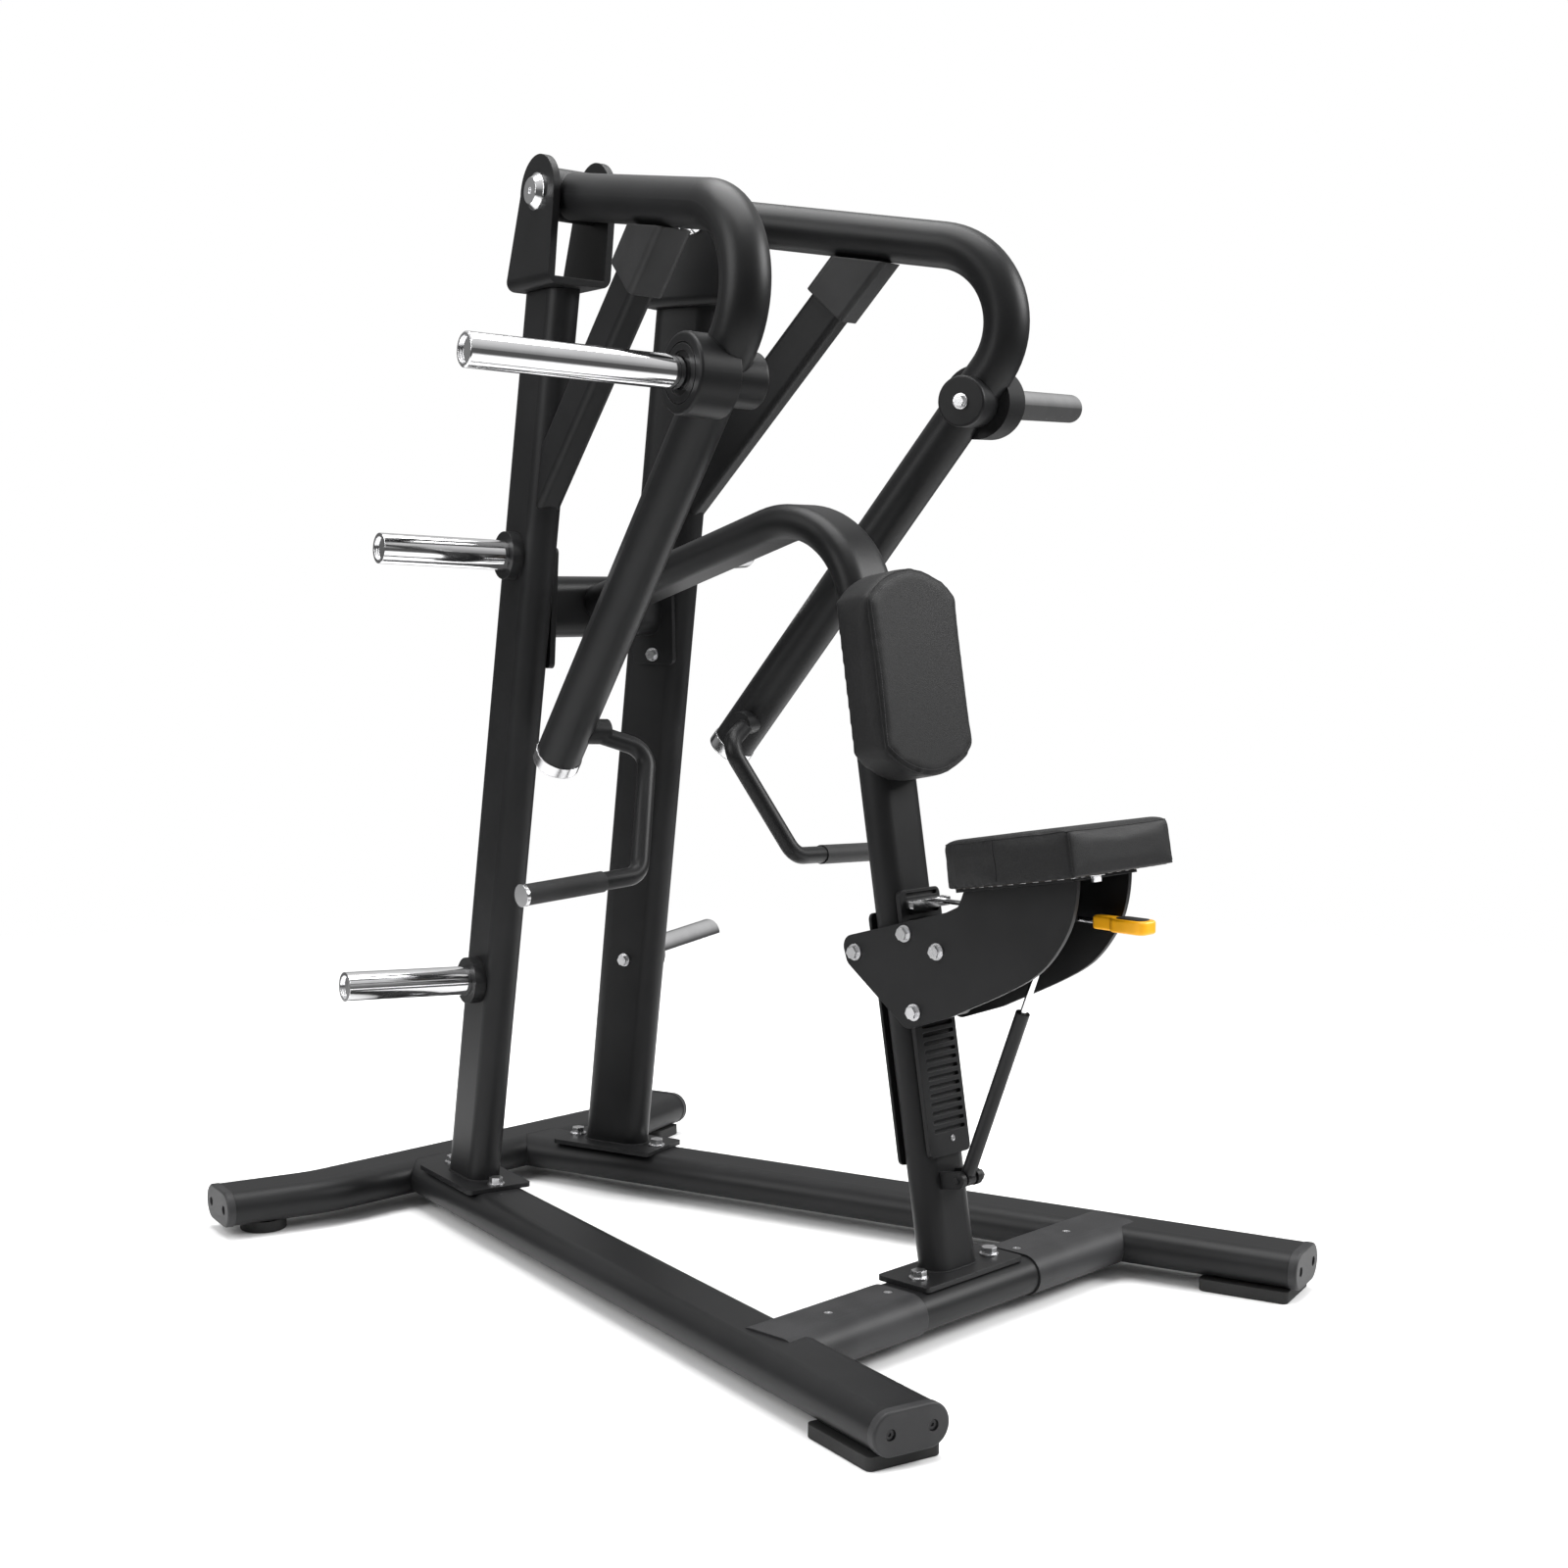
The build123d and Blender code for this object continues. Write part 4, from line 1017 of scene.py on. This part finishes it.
    def build(self, paint: Paintbox, stitches: RunTree) -> None:
        """Make and place the pad with its seams.

        Args:
            paint: The finishes.
            stitches: The stitch tree.
        """
        skin = self.skin()
        skin.data.polygons.foreach_set("use_smooth", [True] * len(skin.data.polygons))
        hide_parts(self.node)
        leather = paint.get(Finish.LEATHER)
        settle(skin, self.body, leather)
        points, _ = self.along(skin, 1.5, 2.0)
        settle(self.rope(self.name + "_welt", points, self.welt, True), self.body, leather)
        points, facing = self.along(skin, 12.0, 0.0)
        sewn = stitches.lay(self.name + "_stitches", points, facing, 0.0042, (0.0009, 0.0006, 0.0031))
        settle(sewn, self.body, paint.get(Finish.THREAD))
        tree = BVHTree.FromObject(skin, bpy.context.evaluated_depsgraph_get())
        for i, (x, y) in enumerate(self.seams):
            steps = [self.low + 5 + (self.high - self.low - 9) * k / 8 for k in range(9)]
            side = [tree.find_nearest(self.axes.at(x, y, h))[0] for h in steps]
            rib = self.rope(f"{self.name}_rib_{i}", side, self.welt * 0.8, False)
            settle(rib, self.body, leather)


def chest_outline(half: float = 109.0, mid: float = 317.0, tall: float = 117.0, sag: float = 46.0) -> list:
    """Chest pad from the front: straight sides, arched top and bottom.

    Args:
        half: Half of the width.
        mid: Height of the middle.
        tall: Half of the straight side.
        sag: Rise of each arch.

    Returns:
        The outline's points in millimetres.
    """
    radius = (half * half + sag * sag) / (2 * sag)
    reach = math.asin(half / radius)
    arch = [-reach + 2 * reach * k / 16 for k in range(17)]
    top = [(radius * math.sin(-a), mid + tall + sag - radius * (1 - math.cos(a))) for a in arch]
    low = [(-x, 2 * mid - y) for x, y in top]
    return top + low


def seat_outline(back: float = 172.0, front: float = 425.0, half: float = 133.0) -> list:
    """Seat from above: full width in front, narrowing behind two corners.

    Args:
        back: Distance of the rear edge from the post.
        front: Distance of the front edge.
        half: Half of the width.

    Returns:
        The outline's points in millimetres: right, and forward.
    """
    corners = [(-102, back), (102, back), (half, back + 118), (half - 6, front)]
    corners += [(-half + 6, front), (-half, back + 118)]
    points = []
    for i, corner in enumerate(corners):
        here = Vector(corner)
        before, after = Vector(corners[i - 1]), Vector(corners[(i + 1) % len(corners)])
        trim = 9.0
        for k in range(5):
            t = k / 4
            a = here + (before - here).normalized() * trim
            b = here + (after - here).normalized() * trim
            points.append(tuple(a.lerp(here, t).lerp(here.lerp(b, t), t)))
    return points


@dataclass
class Upholstery:
    """Both cushions."""

    paint: Paintbox

    def build(self) -> None:
        """Make the chest pad and the seat."""
        stitches = RunTree(Bead.STITCH, self.paint.get(Finish.THREAD))
        chest = Cushion("chest_cushion", "chest_pad", "frame", SEAT, chest_outline(), 28.8, 96.5)
        chest.build(self.paint, stitches)
        deck = Axes(SEAT.origin, SEAT.x, SEAT.z, SEAT.y)
        ribs = [(-133.0, 290.0), (133.0, 290.0), (-127.0, 425.0), (127.0, 425.0)]
        seat = Cushion("seat_pad", "seat_cushion", "carriage", deck, seat_outline(), -15.2, 55.0, seams=ribs)
        seat.build(self.paint, stitches)


# ------------------------------------------------------------------ small fittings
@dataclass
class Fittings:
    """Weld beads, the seat screw and the staples."""

    paint: Paintbox
    deck_z: float = 88.0
    bead: float = 4.6

    def oval(self, centre: Vector, long: Vector, wide: Vector, size: tuple[float, float]) -> tuple:
        """Flat oval line on a plane.

        Args:
            centre: Its middle in metres.
            long: Direction of its length.
            wide: Direction of its width.
            size: Length and width in millimetres.

        Returns:
            The points and the outward directions.
        """
        run, r = (size[0] - size[1]) / 2, size[1] / 2
        points, facing = [], []
        for k in range(64):
            turn = 2 * math.pi * k / 64
            c, s = math.cos(turn), math.sin(turn)
            shift = run if c > 0 else -run
            points.append(centre + (long * (shift + r * c) + wide * (r * s)) * MM)
            facing.append((long * c + wide * s).normalized() + long.cross(wide).normalized())
        return points, facing

    def welds(self) -> None:
        """Beads round the feet of the uprights and the seat post."""
        tree = RunTree(Bead.WELD, self.paint.get(Finish.FRAME))
        size = (self.bead * MM, self.bead * MM, 0.0036)
        forward = Vector((math.sin(SPLAY), -math.cos(SPLAY), 0.0))
        level = Vector((math.cos(SPLAY), math.sin(SPLAY), 0.0))
        foot = SIDE.at(-231.0, 0.0)
        fall = (foot.z - self.deck_z * MM) * math.tan(TILT)
        foot = Vector((foot.x, foot.y, self.deck_z * MM)) + level * fall
        for sign, word in ((1, "right"), (-1, "left")):
            flip = Matrix.Diagonal((sign, 1.0, 1.0))
            points, facing = self.oval(flip @ foot, flip @ forward, flip @ level, (126.0, 59.0))
            facing = [Vector((f.x, f.y, abs(f.z))) for f in facing]
            piece = tree.lay(f"{word}_foot_weld", points, facing, 0.0024, size, 0.12)
            settle(piece, "frame", self.paint.get(Finish.FRAME))
        middle = Vector((0.0, POST_FOOT_Y * MM, self.deck_z * MM))
        points, facing = self.oval(middle, Vector((1, 0, 0)), Vector((0, 1, 0)), (106.0, 57.0))
        piece = tree.lay("post_foot_weld", points, facing, 0.0024, size, 0.12)
        settle(piece, "frame", self.paint.get(Finish.FRAME))

    def seat_bolt(self) -> None:
        """A bright screw with its washer under the front of the seat board."""
        profile = [(0.2, 0.0), (13.0, 0.0), (13.0, -1.8), (7.4, -1.8), (7.4, -10.0), (6.6, -10.8)]
        profile += [(4.2, -10.8), (3.8, -7.6), (0.2, -7.6)]
        spot = Axes(SEAT.at(-38.0, -16.0, 398.0), SEAT.x, SEAT.z * -1, SEAT.y)
        screw = lathe("seat_screw", spot, profile)
        settle(screw, "carriage", self.paint.get(Finish.BOLT))

    def staples(self) -> None:
        """Staples that hold the leatherette under the seat board."""
        tree = RunTree(Bead.STAPLE, self.paint.get(Finish.BOLT))
        line = [
            SEAT.at(x * STAPLE_SHARE, -16.3, SEAT_MIDDLE + (ahead - SEAT_MIDDLE) * STAPLE_SHARE)
            for x, ahead in seat_outline()
        ]
        facing = [SEAT.y * -1 for _ in line]
        piece = tree.lay("seat_staples", line, facing, 0.022, (0.0012, 0.0008, 0.010))
        settle(piece, "carriage", self.paint.get(Finish.BOLT))

    def build(self) -> None:
        """Make all the small fittings."""
        self.welds()
        self.seat_bolt()
        self.staples()


# ------------------------------------------------------------------ studio
@dataclass
class Studio:
    """Pale floor, soft lights and the camera."""

    eye: Vector = field(default_factory=lambda: Vector((-2.6959, -2.6157, 1.1471)))
    azimuth: float = -46.8997
    elevation: float = 5.22352
    roll: float = 0.46899
    lens: float = 52.398

    def camera(self) -> None:
        """Place the camera."""
        a, e, r = (math.radians(v) for v in (self.azimuth, self.elevation, self.roll))
        back = Vector((math.sin(a) * math.cos(e), -math.cos(a) * math.cos(e), math.sin(e)))
        right = Vector((math.cos(a), math.sin(a), 0.0))
        up = back.cross(right)
        across = right * math.cos(r) + up * math.sin(r)
        rise = up * math.cos(r) - right * math.sin(r)
        lens = bpy.data.cameras.new("camera")
        lens.lens = self.lens
        lens.sensor_width = 36.0
        lens.clip_end = 60.0
        camera = bpy.data.objects.new("camera", lens)
        turn = Matrix((across, rise, back)).transposed().to_4x4()
        camera.matrix_world = Matrix.Translation(self.eye) @ turn
        bpy.context.scene.collection.objects.link(camera)
        bpy.context.scene.camera = camera

    def light(self, name: str, at: Colour, size: tuple[float, float], power: float, aim: Colour) -> None:
        """Hang one soft panel.

        Args:
            name: Its name.
            at: Its place in metres.
            size: Its width and height.
            power: Its power in watts.
            aim: The point it faces.
        """
        lamp = bpy.data.lights.new(name, "AREA")
        lamp.shape = "RECTANGLE"
        lamp.size, lamp.size_y = size
        lamp.energy = power
        panel = bpy.data.objects.new(name, lamp)
        panel.location = at
        panel.rotation_mode = "QUATERNION"
        panel.rotation_quaternion = (Vector(aim) - Vector(at)).to_track_quat("-Z", "Y")
        bpy.context.scene.collection.objects.link(panel)

    def sky(self) -> None:
        """Soft white room: bright above, dimmer toward the floor, white behind."""
        world = bpy.data.worlds.new("room")
        world.use_nodes = True
        bpy.context.scene.world = world
        tree = world.node_tree
        tree.nodes.clear()
        place = tree.nodes.new("ShaderNodeTexCoord")
        split = tree.nodes.new("ShaderNodeSeparateXYZ")
        ramp = tree.nodes.new("ShaderNodeValToRGB")
        room = tree.nodes.new("ShaderNodeBackground")
        plain = tree.nodes.new("ShaderNodeBackground")
        ray = tree.nodes.new("ShaderNodeLightPath")
        mix = tree.nodes.new("ShaderNodeMixShader")
        end = tree.nodes.new("ShaderNodeOutputWorld")
        stops = ((0.0, 0.10), (0.18, 0.26), (0.45, 0.55), (1.0, 0.95))
        for i, (spot, level) in enumerate(stops):
            stop = ramp.color_ramp.elements[i] if i < 2 else ramp.color_ramp.elements.new(spot)
            stop.position = spot
            stop.color = (level, level, level, 1.0)
        plain.inputs["Color"].default_value = (1.0, 1.0, 1.0, 1.0)
        tree.links.new(place.outputs["Generated"], split.inputs[0])
        tree.links.new(split.outputs["Z"], ramp.inputs["Fac"])
        tree.links.new(ramp.outputs["Color"], room.inputs["Color"])
        tree.links.new(ray.outputs["Is Camera Ray"], mix.inputs[0])
        tree.links.new(room.outputs[0], mix.inputs[1])
        tree.links.new(plain.outputs[0], mix.inputs[2])
        tree.links.new(mix.outputs[0], end.inputs["Surface"])

    def floor(self, paint: Paintbox) -> None:
        """Lay the floor under the feet.

        Args:
            paint: The finishes.
        """
        bm = bmesh.new()
        bmesh.ops.create_circle(bm, cap_ends=True, radius=4.4, segments=96)
        ground = mesh_object("floor", bm, smooth=False)
        for polygon in ground.data.polygons:
            if polygon.normal.z < 0:
                polygon.flip()
        ground.data.materials.append(paint.get(Finish.FLOOR))

    def build(self, paint: Paintbox) -> None:
        """Set up the studio.

        Args:
            paint: The finishes.
        """
        self.camera()
        self.sky()
        self.floor(paint)
        self.light("key_panel", (3.4, -3.6, 3.6), (3.2, 2.4), 310.0, (0.0, 0.0, 0.9))
        self.light("left_panel", (-4.2, 1.2, 3.0), (2.4, 3.0), 130.0, (0.0, 0.0, 1.0))
        self.light("top_panel", (0.0, 0.2, 4.6), (3.4, 3.4), 240.0, (0.0, 0.0, 0.0))
        bpy.context.scene.view_settings.view_transform = "Standard"


def main() -> None:
    """Build the machine's looks and the studio round it."""
    logging.basicConfig(level=logging.INFO, format="%(message)s")
    paint = Paintbox()
    slots = {entry["node"]: entry["material_slot"] for entry in frame["record"]["subparts"]}
    paint.dress(frame["nodes"], slots)
    Upholstery(paint).build()
    Fittings(paint).build()
    Studio().build(paint)


if __name__ == "__main__":
    main()
